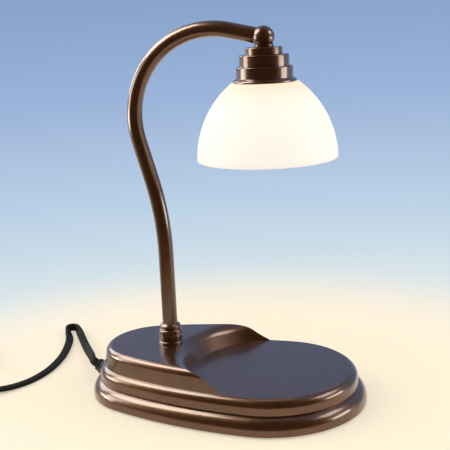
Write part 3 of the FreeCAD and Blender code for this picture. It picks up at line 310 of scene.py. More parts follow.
# The casting's long facets are divided and laid on its true curves, so that its gloss runs clean:
# the mouldings follow the egg-shaped outline at their own inset, and the cove turns about the shade.
# The outline is drawn with a front, a rear and two side arcs, each given by its middle and reach.
weld = 0.000002
front_mid, front_reach = 0.03645, 0.0683
rear_mid, rear_reach = -0.05275, 0.0520
side_reach = 0.3220
head_axis = (0.03846, 0.0)
to_front, to_rear, apart = side_reach - front_reach, side_reach - rear_reach, front_mid - rear_mid
side_along = (to_rear ** 2 - to_front ** 2 + apart ** 2) / (2 * apart)
side_mid = Vector((rear_mid + side_along, -math.sqrt(to_rear ** 2 - side_along ** 2)))
mouldings = [                                # lines and arcs in distance outside the outline, and height
    ("line", (0.0, 0.0018), (0.0, 0.0042)), ("arc", (-0.0094, 0.0042), 0.0094, 0, 90),
    ("arc", (-0.0008, 0.0018), 0.0008, -90, 0), ("line", (-0.0060, 0.0145), (-0.0060, 0.0184)),
    ("arc", (-0.0079, 0.0145), 0.0019, -90, 0), ("arc", (-0.0124, 0.0184), 0.0064, 0, 90),
    ("line", (-0.0105, 0.0237), (-0.01145, 0.0341)), ("arc", (-0.016646, 0.0338), 0.0052, 5.2, 90)]
cove = [("line", (0.0605, 0.0248), (0.064474, 0.032863)), ("arc", (0.074342, 0.0280), 0.0110, 90, 153.8)]


def round_outline(spot):
    """The arc of the egg outline that a spot lies beside: its centre and radius."""
    turn = math.atan2(abs(spot.y) - side_mid.y, spot.x - side_mid.x)
    if turn < math.atan2(-side_mid.y, front_mid - side_mid.x):
        return Vector((front_mid, 0.0)), front_reach
    if turn > math.atan2(-side_mid.y, rear_mid - side_mid.x):
        return Vector((rear_mid, 0.0)), rear_reach
    return Vector((side_mid.x, -side_mid.y if spot.y < 0 else side_mid.y)), side_reach


def true_curves(spot, slack):
    """Each moulding curve that a spot lies on, within slack: the spot laid on it, and its facing."""
    found = {}
    for family, curves in ((0, mouldings), (1, cove)):
        centre, reach = round_outline(spot) if family == 0 else (Vector(head_axis), 0.0)
        out = Vector((spot.x, spot.y)) - centre
        far = out.length - reach
        out.normalize()
        for n, (kind, first, *rest) in enumerate(curves):
            if kind == "line":
                run = Vector(rest[0]) - Vector(first)
                along = (Vector((far, spot.z)) - Vector(first)).dot(run) / run.length_squared
                face = Vector((run.y, -run.x)).normalized() * (-1 if family else 1)
                off = (Vector((far, spot.z)) - Vector(first)).dot(face)
                on = -0.02 < along < 1.02
            else:
                face = Vector((far, spot.z)) - Vector(first)
                off = face.length - rest[0]
                on = rest[1] - 3 < math.degrees(math.atan2(face.y, face.x)) < rest[2] + 3
                face.normalize()
            if on and abs(off) < slack:
                laid = Vector((far, spot.z)) - face * off
                found[(family, n)] = (Vector((*(centre + out * (reach + laid.x)), laid.y)),
                                      Vector((*(out * face.x), face.y)).normalized())
    return found


def level(face):
    """Whether a face of the casting lies flat."""
    heights = [v.co.z for v in face.verts]
    return max(heights) - min(heights) < 0.000005


bm = bmesh.new()
bm.from_mesh(parts["base_housing"].data)
bmesh.ops.remove_doubles(bm, verts=bm.verts, dist=weld)
longest_facet, sharpest_turn, rounds = 0.0035, math.radians(9), 6
for _ in range(rounds):
    lies = {v: true_curves(v.co, slack=0.00004) for v in bm.verts}
    coarse = []
    for edge in bm.edges:
        here, there = (lies[v] for v in edge.verts)
        if not all(level(f) for f in edge.link_faces) and any(
                edge.calc_length() > longest_facet or here[k][1].angle(there[k][1], 0.0) > sharpest_turn
                for k in here.keys() & there.keys()):
            coarse.append(edge)
    if not coarse:
        break
    cut = bmesh.ops.subdivide_edges(bm, edges=coarse, cuts=1)
    for v in {v for v in cut["geom_split"] if isinstance(v, bmesh.types.BMVert)}:
        near = true_curves(v.co, slack=0.00045)
        if near:
            v.co = min((laid for laid, _ in near.values()), key=lambda laid: (laid - v.co).length)
bmesh.ops.triangulate(bm, faces=[f for f in bm.faces if len(f.verts) > 4])
bm.normal_update()
lies = [true_curves(v.co, slack=0.00006) for v in bm.verts]
bm.verts.index_update()
for edge in bm.edges:
    edge.smooth = len(edge.link_faces) < 2 or edge.calc_face_angle(0.0) < math.radians(30)
faces_on = []
for face in bm.faces:
    face.smooth = True
    shared = set.intersection(*(set(lies[v.index]) for v in face.verts))
    shared = [k for k in shared
              if all(lies[v.index][k][1].angle(face.normal, 0.0) < math.radians(24) for v in face.verts)]
    faces_on.append("level" if level(face) else shared[0] if shared else None)
housing_casting = placed(bm, "housing_casting")
casting_mesh = housing_casting.data
if "custom_normal" in casting_mesh.attributes:
    casting_mesh.attributes.remove(casting_mesh.attributes["custom_normal"])
facing = [corner.vector.copy() for corner in casting_mesh.corner_normals]
for face, curve in zip(casting_mesh.polygons, faces_on):
    for corner, v in zip(face.loop_indices, face.vertices):
        if curve == "level":
            facing[corner] = Vector((0.0, 0.0, math.copysign(1.0, face.normal.z)))
        elif curve:
            facing[corner] = lies[v][curve][1]
casting_mesh.normals_split_custom_set(facing)
casting_bronze, *_ = oil_rubbed_bronze("casting_bronze")
coat(housing_casting, casting_bronze)
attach(housing_casting, "lamp")
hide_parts("base_housing")


# ---- Ballast plate -------------------------------------------
# Sand-cast iron weight under the platform, left as cast: dark, coarse skin with a little rust bloom.
cast_iron, shader, place = new_finish("cast_iron", 0.75, 0.6)
skin = grain(place, 0.0012, 8.0)
bloom = grain(place, 0.012, 6.0)
tinted(shader, bloom, (0.35, 58, 57, 57), (0.6, 84, 81, 79), (0.78, 104, 80, 62))
dulled(shader, skin, 0.6, 0.9)
relief(shader, skin, 0.0003, 0.8)
dress("ballast_plate", cast_iron)


# ---- Bottom cover --------------------------------------------
# Pressed steel sheet, zinc plated: pale grey with a faint spangle and the long lines of the rolling.
def zinc_plate(name, rough=0.32):
    """Bright zinc plating: cool grey with faint cloudy spangle."""
    finish, shader, place = new_finish(name, rough, 1.0)
    cloud = grain(place, 0.006, 5.0)
    spangle = flecked(place, 220.0, 0.3, cloud)
    tinted(shader, spangle, (0.2, 170, 172, 175), (0.62, 184, 186, 188), (1.0, 198, 200, 201))
    dulled(shader, cloud, rough - 0.08, rough + 0.12)
    return finish, shader, place


rolled_zinc, shader, place = zinc_plate("rolled_zinc", 0.4)
relief(shader, grain(place, 0.0006, 3.0, (60.0, 1.0, 1.0)), 0.00003, 0.6)
dress("base_cover", rolled_zinc)


# ---- Cover screws --------------------------------------------
# Four pan-head tapping screws with cross recesses, zinc plated, driven up into the housing's bosses.
def lathe(rows, centre, steps):
    """Turns an outline of (radius, height) rows about an upright axis; a ring's ends where it starts."""
    bm = bmesh.new()
    closed = rows[0] == rows[-1]
    spots = [bm.verts.new((centre[0] + r, centre[1], z)) for r, z in (rows[:-1] if closed else rows)]
    for a, b in zip(spots, spots[1:] + spots[:1] if closed else spots[1:]):
        bm.edges.new((a, b))
    bmesh.ops.spin(bm, geom=bm.verts[:] + bm.edges[:], cent=(*centre, 0.0), axis=(0.0, 0.0, 1.0),
                   dvec=(0.0, 0.0, 0.0), angle=2 * math.pi, steps=steps, use_merge=True)
    bmesh.ops.remove_doubles(bm, verts=bm.verts, dist=weld)
    bmesh.ops.recalc_face_normals(bm, faces=bm.faces)
    return bm


def finished(bm, name, smooth):
    """Puts a modelled piece into the scene, smooth across edges that turn less than an angle."""
    for face in bm.faces:
        face.smooth = True
    for edge in bm.edges:
        edge.smooth = len(edge.link_faces) < 2 or edge.calc_face_angle(0.0) < math.radians(smooth)
    return placed(bm, name)


def turned(name, rows, centre, steps, smooth):
    """A turned piece, closed at the axis or in a ring."""
    return finished(lathe(rows, centre, steps), name, smooth)


def carved(piece, cutters):
    """Cuts tools out of a piece and throws the tools away."""
    for tool in cutters:
        cut = piece.modifiers.new("cut", "BOOLEAN")
        cut.operation = "DIFFERENCE"
        cut.solver = "EXACT"
        cut.object = tool
    bpy.context.view_layer.update()
    shaped = piece.evaluated_get(bpy.context.evaluated_depsgraph_get())
    carved_mesh = bpy.data.meshes.new_from_object(shaped)
    carved_mesh.name = piece.name
    piece.modifiers.clear()
    piece.data = carved_mesh
    for tool in cutters:
        bpy.data.objects.remove(tool)


def block(name, size, middle, turn=0.0, bevel=0.0):
    """A machined block, turned about the upright axis, with softened edges."""
    bm = bmesh.new()
    bmesh.ops.create_cube(bm, size=1.0)
    bmesh.ops.scale(bm, verts=bm.verts, vec=size)
    if bevel:
        bmesh.ops.bevel(bm, geom=bm.edges[:], offset=bevel, offset_type="OFFSET", affect="EDGES",
                        segments=3, profile=0.5, material=-1)
    bmesh.ops.rotate(bm, verts=bm.verts, matrix=Matrix.Rotation(turn, 3, "Z"))
    bmesh.ops.translate(bm, verts=bm.verts, vec=middle)
    return finished(bm, name, smooth=40)


def joined(name, pieces):
    """Joins loose pieces into one object."""
    bm = bmesh.new()
    for piece in pieces:
        bm.from_mesh(piece.data)
        bpy.data.objects.remove(piece)
    return placed(bm, name)


screw_places = [(0.07202, 0.0340), (0.07202, -0.0340), (-0.0660, 0.02703), (-0.0660, -0.02703)]
screw_profile = [(0.0, 0.0138), (0.0010, 0.0138), (0.0014, 0.0128), (0.0014, 0.0024), (0.0028, 0.0024),
                 (0.0028, 0.0021), (0.00268, 0.0016), (0.0023, 0.0012), (0.0016, 0.00102), (0.0, 0.0010)]
cross_recess = ((0.0034, 0.0007, 0.0012), (0.0007, 0.0034, 0.0012))
screws = []
for n, (x, y) in enumerate(screw_places):
    head = turned("screw", screw_profile, (x, y), steps=32, smooth=40)
    carved(head, [block("recess", size, (x, y, 0.0012), turn=0.4 + 0.7 * n) for size in cross_recess])
    screws.append(head)
screw_heads = joined("cover_screw_heads", screws)
plated, *_ = zinc_plate("bright_zinc", 0.26)
coat(screw_heads, plated)
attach(screw_heads, "lamp")
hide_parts("cover_screws")


# ---- Rubber feet ---------------------------------------------
# Four moulded rubber buttons, dished in the middle, with two gripping rings; glued to the cover.
foot_places = [(0.05801, 0.0440), (0.05801, -0.0440), (-0.07348, 0.01398), (-0.07348, -0.01398)]
foot_profile = [(0.0, 0.0024), (0.0070, 0.0024), (0.0070, 0.0009), (0.0068, 0.0004), (0.0064, 0.0001),
                (0.0059, 0.0), (0.0053, 0.0), (0.0051, 0.0003), (0.0048, 0.0003), (0.0046, 0.0),
                (0.0040, 0.0), (0.0038, 0.0004), (0.0, 0.0006)]
foot_pads = joined("foot_pads", [
    turned("foot", foot_profile, place, steps=40, smooth=35) for place in foot_places])
rubber, shader, place = new_finish("foot_rubber", 0.7)
tinted(shader, grain(place, 0.004, 6.0), (0.3, 26, 26, 27), (0.7, 46, 45, 45))
relief(shader, grain(place, 0.0005, 3.0), 0.00006, 0.6)
coat(foot_pads, rubber)
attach(foot_pads, "lamp")
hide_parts("base_feet")


# ---- Strain-relief bushing -----------------------------------
# Black nylon snap-in bushing that grips the flex where it leaves the back of the base: a flange
# with pinched sides and a short neck with two ribs. It is pressed into a boss and tilts up.
bushing_lean = math.radians(27.5)
bushing_out = Vector((-math.cos(bushing_lean), 0.0, math.sin(bushing_lean)))
bushing_root = Vector((-0.10320, 0.0, 0.01420)) - bushing_out * 0.0008
bushing_profile = [(0.0, -0.0070), (0.0036, -0.0070), (0.0040, -0.0066), (0.0040, -0.0002), (0.0057, 0.0),
                   (0.0057, 0.0010), (0.0055, 0.0014), (0.0051, 0.0016), (0.0048, 0.0017), (0.0047, 0.0024),
                   (0.0050, 0.0026), (0.0050, 0.0031), (0.0046, 0.0033), (0.0045, 0.0037), (0.0048, 0.0039),
                   (0.0047, 0.0044), (0.0043, 0.0046), (0.0041, 0.0046), (0.0037, 0.0044), (0.0, 0.0044)]
bushing = turned("bushing_shell", bushing_profile, (0.0, 0.0), steps=48, smooth=40)
pinches = [block("pinch", (0.0030, 0.0030, 0.0040), (0.0, side * 0.0065, 0.0009)) for side in (1, -1)]
carved(bushing, pinches + [block("mouth", (0.0072, 0.0036, 0.0030), (0.0, 0.0, 0.0048), bevel=0.0012)])
leaned = bushing_out.to_track_quat("Z", "Y").to_matrix().to_4x4()
bushing.data.transform(Matrix.Translation(bushing_root) @ leaned)
nylon, shader, place = new_finish("black_nylon", 0.42)
tinted(shader, grain(place, 0.003, 5.0), (0.3, 23, 22, 22), (0.7, 37, 35, 34))
dulled(shader, grain(place, 0.001, 3.0), 0.34, 0.5)
relief(shader, grain(place, 0.0004, 2.0), 0.00003, 0.5)
coat(bushing, nylon)
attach(bushing, "lamp")
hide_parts("cord_bushing")


# ---- Neck nipple, toothed washer and nut ---------------------
# Threaded steel tube that bolts the arm to the platform, with a shake-proof washer and a hexagon
# nut inside the base. Rolled thread, zinc plated.
threaded, shader, place = zinc_plate("rolled_thread", 0.3)
thread = place.id_data.nodes.new("ShaderNodeTexWave")
thread.bands_direction = "Z"
thread.inputs["Scale"].default_value = 157.0
wired((place, thread.inputs["Vector"]))
relief(shader, thread.outputs["Fac"], 0.0004, 0.9)
for node in ("neck_nipple", "head_nipple"):
    dress(node, threaded)
steel_nut, shader, place = zinc_plate("milled_nut", 0.3)
relief(shader, grain(place, 0.0004, 2.0, (1.0, 1.0, 8.0)), 0.00003, 0.5)
for node in ("neck_nut", "neck_washer", "head_nut"):
    dress(node, steel_nut)


# ---- Neck collar ---------------------------------------------
# Turned brass trim that slides down the arm and hides the joint: foot ring, body, groove and bead.
# Lacquered like the base, with the faint rings of the lathe.
one_ring = 0.314                      # the wave texture's scale for one ring in a metre


def lathe_rings(shader, place, centre, pitch, depth):
    """Fine rings left by turning or spinning, about an upright axis at centre."""
    nodes = place.id_data.nodes
    move = nodes.new("ShaderNodeMapping")
    move.vector_type = "POINT"
    move.inputs["Location"].default_value = (-centre[0], -centre[1], 0.0)
    rings = nodes.new("ShaderNodeTexWave")
    rings.bands_direction = "Z"
    rings.inputs["Scale"].default_value = one_ring / pitch
    rings.inputs["Distortion"].default_value = 1.5
    wired((place, move.inputs["Vector"]), (move.outputs["Vector"], rings.inputs["Vector"]))
    relief(shader, rings.outputs["Fac"], depth, 0.6)


turned_bronze, shader, place = oil_rubbed_bronze("turned_bronze")
lathe_rings(shader, place, (-0.0429, 0.0), 0.0007, 0.00001)
dress("neck_collar", turned_bronze)


# ---- Arm and ball --------------------------------------------
# Bent steel tube, 11 mm across, in one swan-neck curve, and the cast ball elbow that plugs into its
# end and carries the cap. Both lacquered like the base.
tube_bronze, shader, place = oil_rubbed_bronze("tube_bronze")
relief(shader, grain(place, 0.004, 2.0, (1.0, 1.0, 9.0)), 0.00002, 0.4)
dress("arm_tube", tube_bronze)
ball_bronze, *_ = oil_rubbed_bronze("ball_bronze")
dress("ball_fitting", ball_bronze)


# ---- Shade cap -----------------------------------------------
# Spun sheet-metal cap in three steps with a flange rolled out over the glass, lacquered bronze;
# the spinning tool has left fine rings under the lacquer.
spun_bronze, shader, place = oil_rubbed_bronze("spun_bronze")
lathe_rings(shader, place, head_axis, 0.0009, 0.000006)
dress("shade_cap", spun_bronze)


# ---- Holder carrier ------------------------------------------
# Stepped steel cup nested in the cap. The head nut clamps it, and its threaded tail carries the ring
# that holds the glass. Zinc plated, with spinning rings.
spun_zinc, shader, place = zinc_plate("spun_zinc", 0.34)
lathe_rings(shader, place, head_axis, 0.0008, 0.00003)
dress("holder_carrier", spun_zinc)


# ---- Glass shade ---------------------------------------------
# Blown glass dome, acid-etched inside and out so that it scatters the bulb's light, with a ground
# and fire-polished rim. Its glow is painted in: warm where the bulb's neck shines through, white lower down.
cap_foot, seat_radius = 0.23291, 0.0166
dome_r, dome_z, dome_radius = -0.01824, 0.17994, 0.06725
rim_height, shoulder_height = 0.18081, 0.23201
glass_wall = 0.0030


def dome_arc(radius, low, high, steps=24):
    """Points along the dome's round between two heights: distance from the axis, and height."""
    start, end = (math.asin((z - dome_z) / radius) for z in (low, high))
    tilts = [start + (end - start) * k / steps for k in range(steps + 1)]
    return [(dome_r + radius * math.cos(tilt), dome_z + radius * math.sin(tilt)) for tilt in tilts]


outer_rows = dome_arc(dome_radius, rim_height, shoulder_height)
inner_rows = dome_arc(dome_radius - glass_wall, rim_height, cap_foot - glass_wall)
shoulder = outer_rows[-1][0]
rim_middle = (outer_rows[0][0] + inner_rows[0][0]) / 2
rim_drop = 0.0009
rim_turns = [math.pi * k / 8 for k in range(1, 8)]
rim_rows = [(rim_middle + glass_wall / 2 * math.cos(turn), rim_height - rim_drop * math.sin(turn))
            for turn in rim_turns]
seat_rows = [(shoulder - 0.0006, 0.23262), (shoulder - 0.0014, cap_foot), (seat_radius, cap_foot),
             (seat_radius, cap_foot - glass_wall)]
shade_rows = outer_rows + seat_rows + inner_rows[::-1] + rim_rows[::-1]
shade = turned("glass_shade", shade_rows + shade_rows[:1], head_axis, steps=128, smooth=50)
etched, shader, place = new_finish("etched_glass", 0.55)
shader.inputs["IOR"].default_value = 1.5
shader.inputs["Specular IOR Level"].default_value = 0.15
shader.inputs["Subsurface Weight"].default_value = 0.35
shader.inputs["Subsurface Radius"].default_value = (0.012, 0.009, 0.006)
# Painted glow: the emission stands in for the bulb's light shining through the etched glass
shader.inputs["Emission Strength"].default_value = 0.63
nodes = place.id_data.nodes
up = nodes.new("ShaderNodeSeparateXYZ")
rise = nodes.new("ShaderNodeMapRange")
rise.inputs["From Min"].default_value = 0.180
rise.inputs["From Max"].default_value = 0.233
stir = nodes.new("ShaderNodeMath")
stir.operation = "MULTIPLY_ADD"
stir.inputs[1].default_value = 0.10
wired((place, up.inputs[0]), (up.outputs["Z"], rise.inputs["Value"]),
      (grain(place, 0.022, 3.0), stir.inputs[0]), (rise.outputs["Result"], stir.inputs[2]))
# Painted glow colour, white low down and warm under the cap; the same ramp makes the glass's own colour
# slightly lighter towards the cap
painted_glow = tinted(shader, stir.outputs[0], (0.0, 250, 244, 232), (0.16, 252, 248, 240),
                (0.7, 252, 247, 235), (0.9, 252, 236, 214), (1.0, 247, 220, 188))
wired((painted_glow, shader.inputs["Emission Color"]))
tinted(shader, stir.outputs[0], (0.0, 188, 185, 178), (0.8, 194, 191, 185))
dulled(shader, grain(place, 0.010, 4.0), 0.5, 0.62)
relief(shader, grain(place, 0.0003, 2.0), 0.00002, 0.5)
coat(shade, etched)
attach(shade, "lamp")
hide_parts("shade")


# ---- Shade washer and ring nut -------------------------------
# Soft white washer against the glass, and the spun ring nut with finger notches that clamps it.
washer_fibre, shader, place = new_finish("washer_fibre", 0.8)
tinted(shader, grain(place, 0.0007, 6.0), (0.3, 208, 203, 192), (0.7, 232, 228, 220))
relief(shader, grain(place, 0.0004, 4.0), 0.0001, 0.7)
dress("shade_washer", washer_fibre)
dress("shade_ring", spun_zinc)


# ---- Lampholder ----------------------------------------------
# Steatite twist-lock holder, pressed and half glazed: ivory with tiny dark specks. Two plated
# screws hold it to the carrier, and brass springs inside press on the bulb's pins.
steatite, shader, place = new_finish("steatite", 0.32)
shader.inputs["Coat Weight"].default_value = 0.3
shader.inputs["Coat Roughness"].default_value = 0.18
speck = place.id_data.nodes.new("ShaderNodeTexVoronoi")
speck.inputs["Scale"].default_value = 900.0
wired((place, speck.inputs["Vector"]))
tinted(shader, speck.outputs["Distance"],
       (0.0, 168, 150, 126), (0.09, 226, 220, 204), (0.6, 238, 233, 220))
dulled(shader, grain(place, 0.003, 4.0), 0.26, 0.45)
relief(shader, grain(place, 0.0009, 3.0), 0.00008, 0.5)
dress("lampholder", steatite)
dress("holder_screws", plated)
brass, shader, place = new_finish("rolled_brass", 0.28, 1.0)
tinted(shader, grain(place, 0.004, 5.0), (0.3, 178, 142, 74), (0.7, 216, 184, 112))
dulled(shader, grain(place, 0.001, 3.0, (1.0, 1.0, 6.0)), 0.2, 0.4)
dress("holder_contacts", brass)


# ---- Reflector bulb ------------------------------------------
# Halogen reflector bulb: a pressed-glass bowl with faceted, mirror-coated inside and a fluted
# neck, a clear front glass with small dimples, and the glowing capsule. It twists out of its slots.
bulb_low, bulb_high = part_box("bulb_reflector")
bulb_front, bowl_top = bulb_low.z, bulb_high.z
neck_width, bulb_radius, bore_radius = 0.0126, 0.0250, 0.0062
front_ring, glass_thick, coat_drop = 0.0034, 0.0014, 0.0008
full_depth = bowl_top - (bulb_front + front_ring)
front_seat = (0.0237, bulb_front + 0.0029)


def bowl_rows(steps, inset=0.0, drop=0.0):
    """The bowl's wall from the neck down to the front ring, a parabola, set in and lowered."""
    rows = []
    for k in range(steps + 1):
        z = bowl_top - full_depth * (k / steps) ** 2
        bow = neck_width + (bulb_radius - neck_width) * math.sqrt(max(bowl_top - z, 0.0) / full_depth)
        rows.append((bow - inset, z - drop))
    return rows


ring_rows = [(0.0250, bulb_front + 0.0006), (0.0247, bulb_front + 0.0001), (0.0243, bulb_front),
             (0.0239, bulb_front + 0.0002), front_seat]
skin_rows = [(bore_radius, bowl_top)] + bowl_rows(steps=14) + ring_rows
bowl_skin = turned("bowl_skin", skin_rows, head_axis, steps=72, smooth=50)
inner_bowl = bowl_rows(steps=7, inset=glass_thick, drop=coat_drop)
mirror_rows = [front_seat, *inner_bowl[-2::-1], (bore_radius, bowl_top - coat_drop), (bore_radius, bowl_top)]
bm = lathe(mirror_rows, head_axis, steps=36)
bmesh.ops.reverse_faces(bm, faces=bm.faces)
for face in bm.faces:
    face.material_index = 1
facets = finished(bm, "facets", smooth=2)
reflector = joined("reflector_bowl", [bowl_skin, facets])
pressed, shader, place = new_finish("pressed_glass", 0.2, 0.35)
shader.inputs["Coat Weight"].default_value = 0.6
tinted(shader, grain(place, 0.012, 3.0), (0.3, 150, 140, 150), (0.7, 196, 184, 182))
relief(shader, grain(place, 0.002, 2.0), 0.0001, 0.5)
mirror, shader, place = new_finish("mirror_coat", 0.09, 1.0)
tinted(shader, grain(place, 0.008, 3.0), (0.3, 226, 214, 200), (0.7, 244, 238, 230))
coat(reflector, pressed, mirror)
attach(reflector, "bulb")
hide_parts("bulb_reflector")

front_glass, shader, place = new_finish("front_glass", 0.08)
shader.inputs["Transmission Weight"].default_value = 0.92
shader.inputs["IOR"].default_value = 1.47
tinted(shader, grain(place, 0.01, 2.0), (0.3, 246, 246, 244), (0.7, 254, 254, 252))
dimple = place.id_data.nodes.new("ShaderNodeTexVoronoi")
dimple.inputs["Scale"].default_value = 420.0
wired((place, dimple.inputs["Vector"]))
relief(shader, dimple.outputs["Distance"], 0.0003, 0.22)
dress("bulb_lens", front_glass)
capsule_glow, shader, place = new_finish("capsule_glow", 0.25)
shader.inputs["Emission Strength"].default_value = 6.0
warm = tinted(shader, grain(place, 0.004, 2.0), (0.3, 255, 226, 178), (0.7, 255, 244, 220))
wired((warm, shader.inputs["Emission Color"]))
dress("bulb_capsule", capsule_glow)
bulb_cap, shader, place = new_finish("bulb_cap_ceramic", 0.45)
tinted(shader, grain(place, 0.002, 5.0), (0.3, 224, 219, 208), (0.7, 240, 236, 226))
relief(shader, grain(place, 0.0006, 3.0), 0.00006, 0.5)
dress("bulb_base", bulb_cap)
dress("bulb_pins", plated)


# ---- Wiring inside -------------------------------------------
# Two-core lead from the bushing to a nylon terminal block, and a round lead from there up the arm
# to the holder. Black jackets with a little talc left on them.
inner_jacket, shader, place = new_finish("inner_jacket", 0.5)
tinted(shader, grain(place, 0.003, 6.0), (0.35, 26, 25, 25), (0.6, 40, 38, 38), (0.8, 66, 64, 62))
dulled(shader, grain(place, 0.002, 3.0), 0.4, 0.65)
dress("base_lead", inner_jacket)
dress("arm_lead", inner_jacket)
white_nylon, shader, place = new_finish("white_nylon", 0.45)
shader.inputs["Subsurface Weight"].default_value = 0.1
shader.inputs["Subsurface Radius"].default_value = (0.002, 0.002, 0.0015)
tinted(shader, grain(place, 0.004, 4.0), (0.3, 222, 219, 208), (0.7, 236, 234, 226))
relief(shader, grain(place, 0.0006, 2.0), 0.00004, 0.5)
dress("terminal_block", white_nylon)
dress("terminal_screws", brass)


# ---- Mains lead, lamp to switch ------------------------------
# Flat twin flex: two stranded cores in one figure-eight jacket of black PVC, 6.8 x 3.4 mm, with
# fine ribs along one edge that mark the neutral core. It leaves the bushing at the back of the
# base, swings out to the side, folds back on edge and runs to the switch in the lead.
flex_width = 0.0068
flex_thick = 0.0034
lamp_exit = Vector((-0.10657, 0.0, 0.01595))
switch_mouth = Vector((-0.2060, -0.0595, 0.0085))


def laid_line(route, steps):
    """The smooth line of a lead, and how far it is rolled there, from rows of x, y, z and roll."""
    lines = []
    for rows in ([row[:3] for row in route], [(row[3], 0.0, 0.0) for row in route]):
        curve = bpy.data.curves.new("lead_line", "CURVE")
        curve.dimensions = "3D"
        spline = curve.splines.new("NURBS")
        spline.points.add(len(rows) - 1)
        for point, row in zip(spline.points, rows):
            point.co = (*row, 1.0)
        spline.order_u = 3
        spline.use_endpoint_u = True
        spline.resolution_u = steps
        holder = bpy.data.objects.new("lead_line", curve)
        read = bpy.data.meshes.new_from_object(holder)
        lines.append([v.co.copy() for v in read.vertices])
        bpy.data.objects.remove(holder)
        bpy.data.curves.remove(curve)
        bpy.data.meshes.remove(read)
    return lines[0], [math.radians(p.x) for p in lines[1]]


def flat_flex(name, route, steps):
    """Twin flex drawn along a laid line: a figure-eight outline of two cores, turned by the roll.

    Its UVs run once round the flex, and once along each 0.1 m of it.
    """
    line, rolls = laid_line(route, steps)
    round_steps, web, web_thick = 28, 0.2, 0.62      # the web joins the cores and is thinner
    core = flex_width / 2 - flex_thick / 2
    outline = []
    for k in range(round_steps):
        turn = 2 * math.pi * k / round_steps
        across, deep = math.cos(turn), math.sin(turn)
        side, full = math.copysign(core, across), 1.0
        if abs(across) <= web:
            side, full = core * across / web, web_thick + (1 - web_thick) * abs(across) / web
        outline.append((side + flex_thick / 2 * across, flex_thick / 2 * deep * full))
    bm = bmesh.new()
    along = bm.loops.layers.uv.new("UVMap")
    rings, ran = [], [0.0]
    for n, spot in enumerate(line):
        ahead = (line[min(n + 1, len(line) - 1)] - line[max(n - 1, 0)]).normalized()
        side = ahead.cross(Vector((0, 0, 1))).normalized()
        top = side.cross(ahead)
        wide = side * math.cos(rolls[n]) + top * math.sin(rolls[n])
        thin = top * math.cos(rolls[n]) - side * math.sin(rolls[n])
        rings.append([bm.verts.new(spot + wide * a + thin * b) for a, b in outline])
        if n:
            ran.append(ran[-1] + (spot - line[n - 1]).length)
    for n in range(len(rings) - 1):
        for k in range(round_steps):
            j = (k + 1) % round_steps
            face = bm.faces.new((rings[n][k], rings[n][j], rings[n + 1][j], rings[n + 1][k]))
            face.smooth = True
            for loop, (across, down) in zip(face.loops, ((k, n), (k + 1, n), (k + 1, n + 1), (k, n + 1))):
                loop[along].uv = (across / round_steps, ran[down] / 0.1)
    bm.faces.new(list(reversed(rings[0])))
    bm.faces.new(rings[-1])
    bmesh.ops.recalc_face_normals(bm, faces=bm.faces)
    return placed(bm, name), line


lead_a_route = [
    (*lamp_exit, 70), (-0.1110, 0.0000, 0.0183, 70), (-0.1141, 0.0058, 0.0182, 62),
    (-0.1211, 0.0165, 0.0160, 45), (-0.1319, 0.0325, 0.0130, 28), (-0.1436, 0.0502, 0.0098, 12),
    (-0.1560, 0.0693, 0.0066, 4), (-0.1678, 0.0874, 0.0042, 14), (-0.1786, 0.1030, 0.0036, 50),
    (-0.1844, 0.1101, 0.0036, 82), (-0.1893, 0.1096, 0.0037, 90), (-0.1913, 0.1051, 0.0036, 84),
    (-0.1866, 0.0979, 0.0032, 55), (-0.1766, 0.0824, 0.0022, 12), (-0.1692, 0.0635, 0.0018, 0),
    (-0.1629, 0.0443, 0.0018, 0), (-0.1600, 0.0298, 0.0018, 0), (-0.1580, 0.0136, 0.0018, 0),
    (-0.1588, -0.0030, 0.0018, 0), (-0.1624, -0.0174, 0.0018, 0), (-0.1702, -0.0326, 0.0024, 0),
    (-0.1814, -0.0450, 0.0046, 0), (-0.1969, -0.0553, 0.0085, 0), (*switch_mouth, 0)]
lead_to_switch, lead_line = flat_flex("lead_to_switch", lead_a_route, steps=10)

flex_jacket, shader, place = new_finish("flex_jacket", 0.55)
shader.inputs["Specular IOR Level"].default_value = 0.07
flex_uv = place.node.outputs["UV"]
nodes = place.id_data.nodes
ribs = nodes.new("ShaderNodeTexWave")
ribs.bands_direction = "X"
ribs.inputs["Scale"].default_value = 9.0
ribs.inputs["Distortion"].default_value = 0.0
dust = nodes.new("ShaderNodeTexNoise")
dust.inputs["Scale"].default_value = 6.0
dust.inputs["Detail"].default_value = 6.0
wired((flex_uv, ribs.inputs["Vector"]), (flex_uv, dust.inputs["Vector"]))
tinted(shader, dust.outputs["Fac"], (0.3, 27, 24, 20), (0.75, 46, 42, 36))
relief(shader, ribs.outputs["Fac"], 0.0002, 0.25)
coat(lead_to_switch, flex_jacket)
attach(lead_to_switch, "lamp")
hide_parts("cord_to_switch")


# ---- Mains lead, switch to plug ------------------------------
# The same flex from the switch to the plug: 1.4 m, most of it wound into five turns on edge, held
# by a strap. Its plug lies beside the coil.
switch_tail = Vector((-0.26038, -0.08486, 0.0085))
coil_middle = Vector((-0.2630, 0.0, 0.0))
plug_mouth = Vector((-0.3036, 0.0600, 0.00675))
coil_turns = [(0.0461, 0.0035), (0.0393, 0.0035), (0.0325, 0.0037), (0.0359, 0.0096), (0.0427, 0.0096)]
steps_round, step_over = 14, 0.6      # a turn climbs over to the next in its last part
heading = math.radians(205)
straight_out = switch_tail + 0.009 * Vector((math.cos(heading), math.sin(heading), 0.0))
lead_b_route = [
    (*switch_tail, 0), (*straight_out, 0),
    (-0.2820, -0.0940, 0.0060, 20), (-0.2960, -0.0926, 0.0040, 55), (-0.3070, -0.0834, 0.0036, 80),
    (-0.3130, -0.0690, 0.0035, 88), (-0.3140, -0.0520, 0.0035, 90), (-0.3120, -0.0346, 0.0035, 90),
    (-0.3098, -0.0160, 0.0035, 90)]
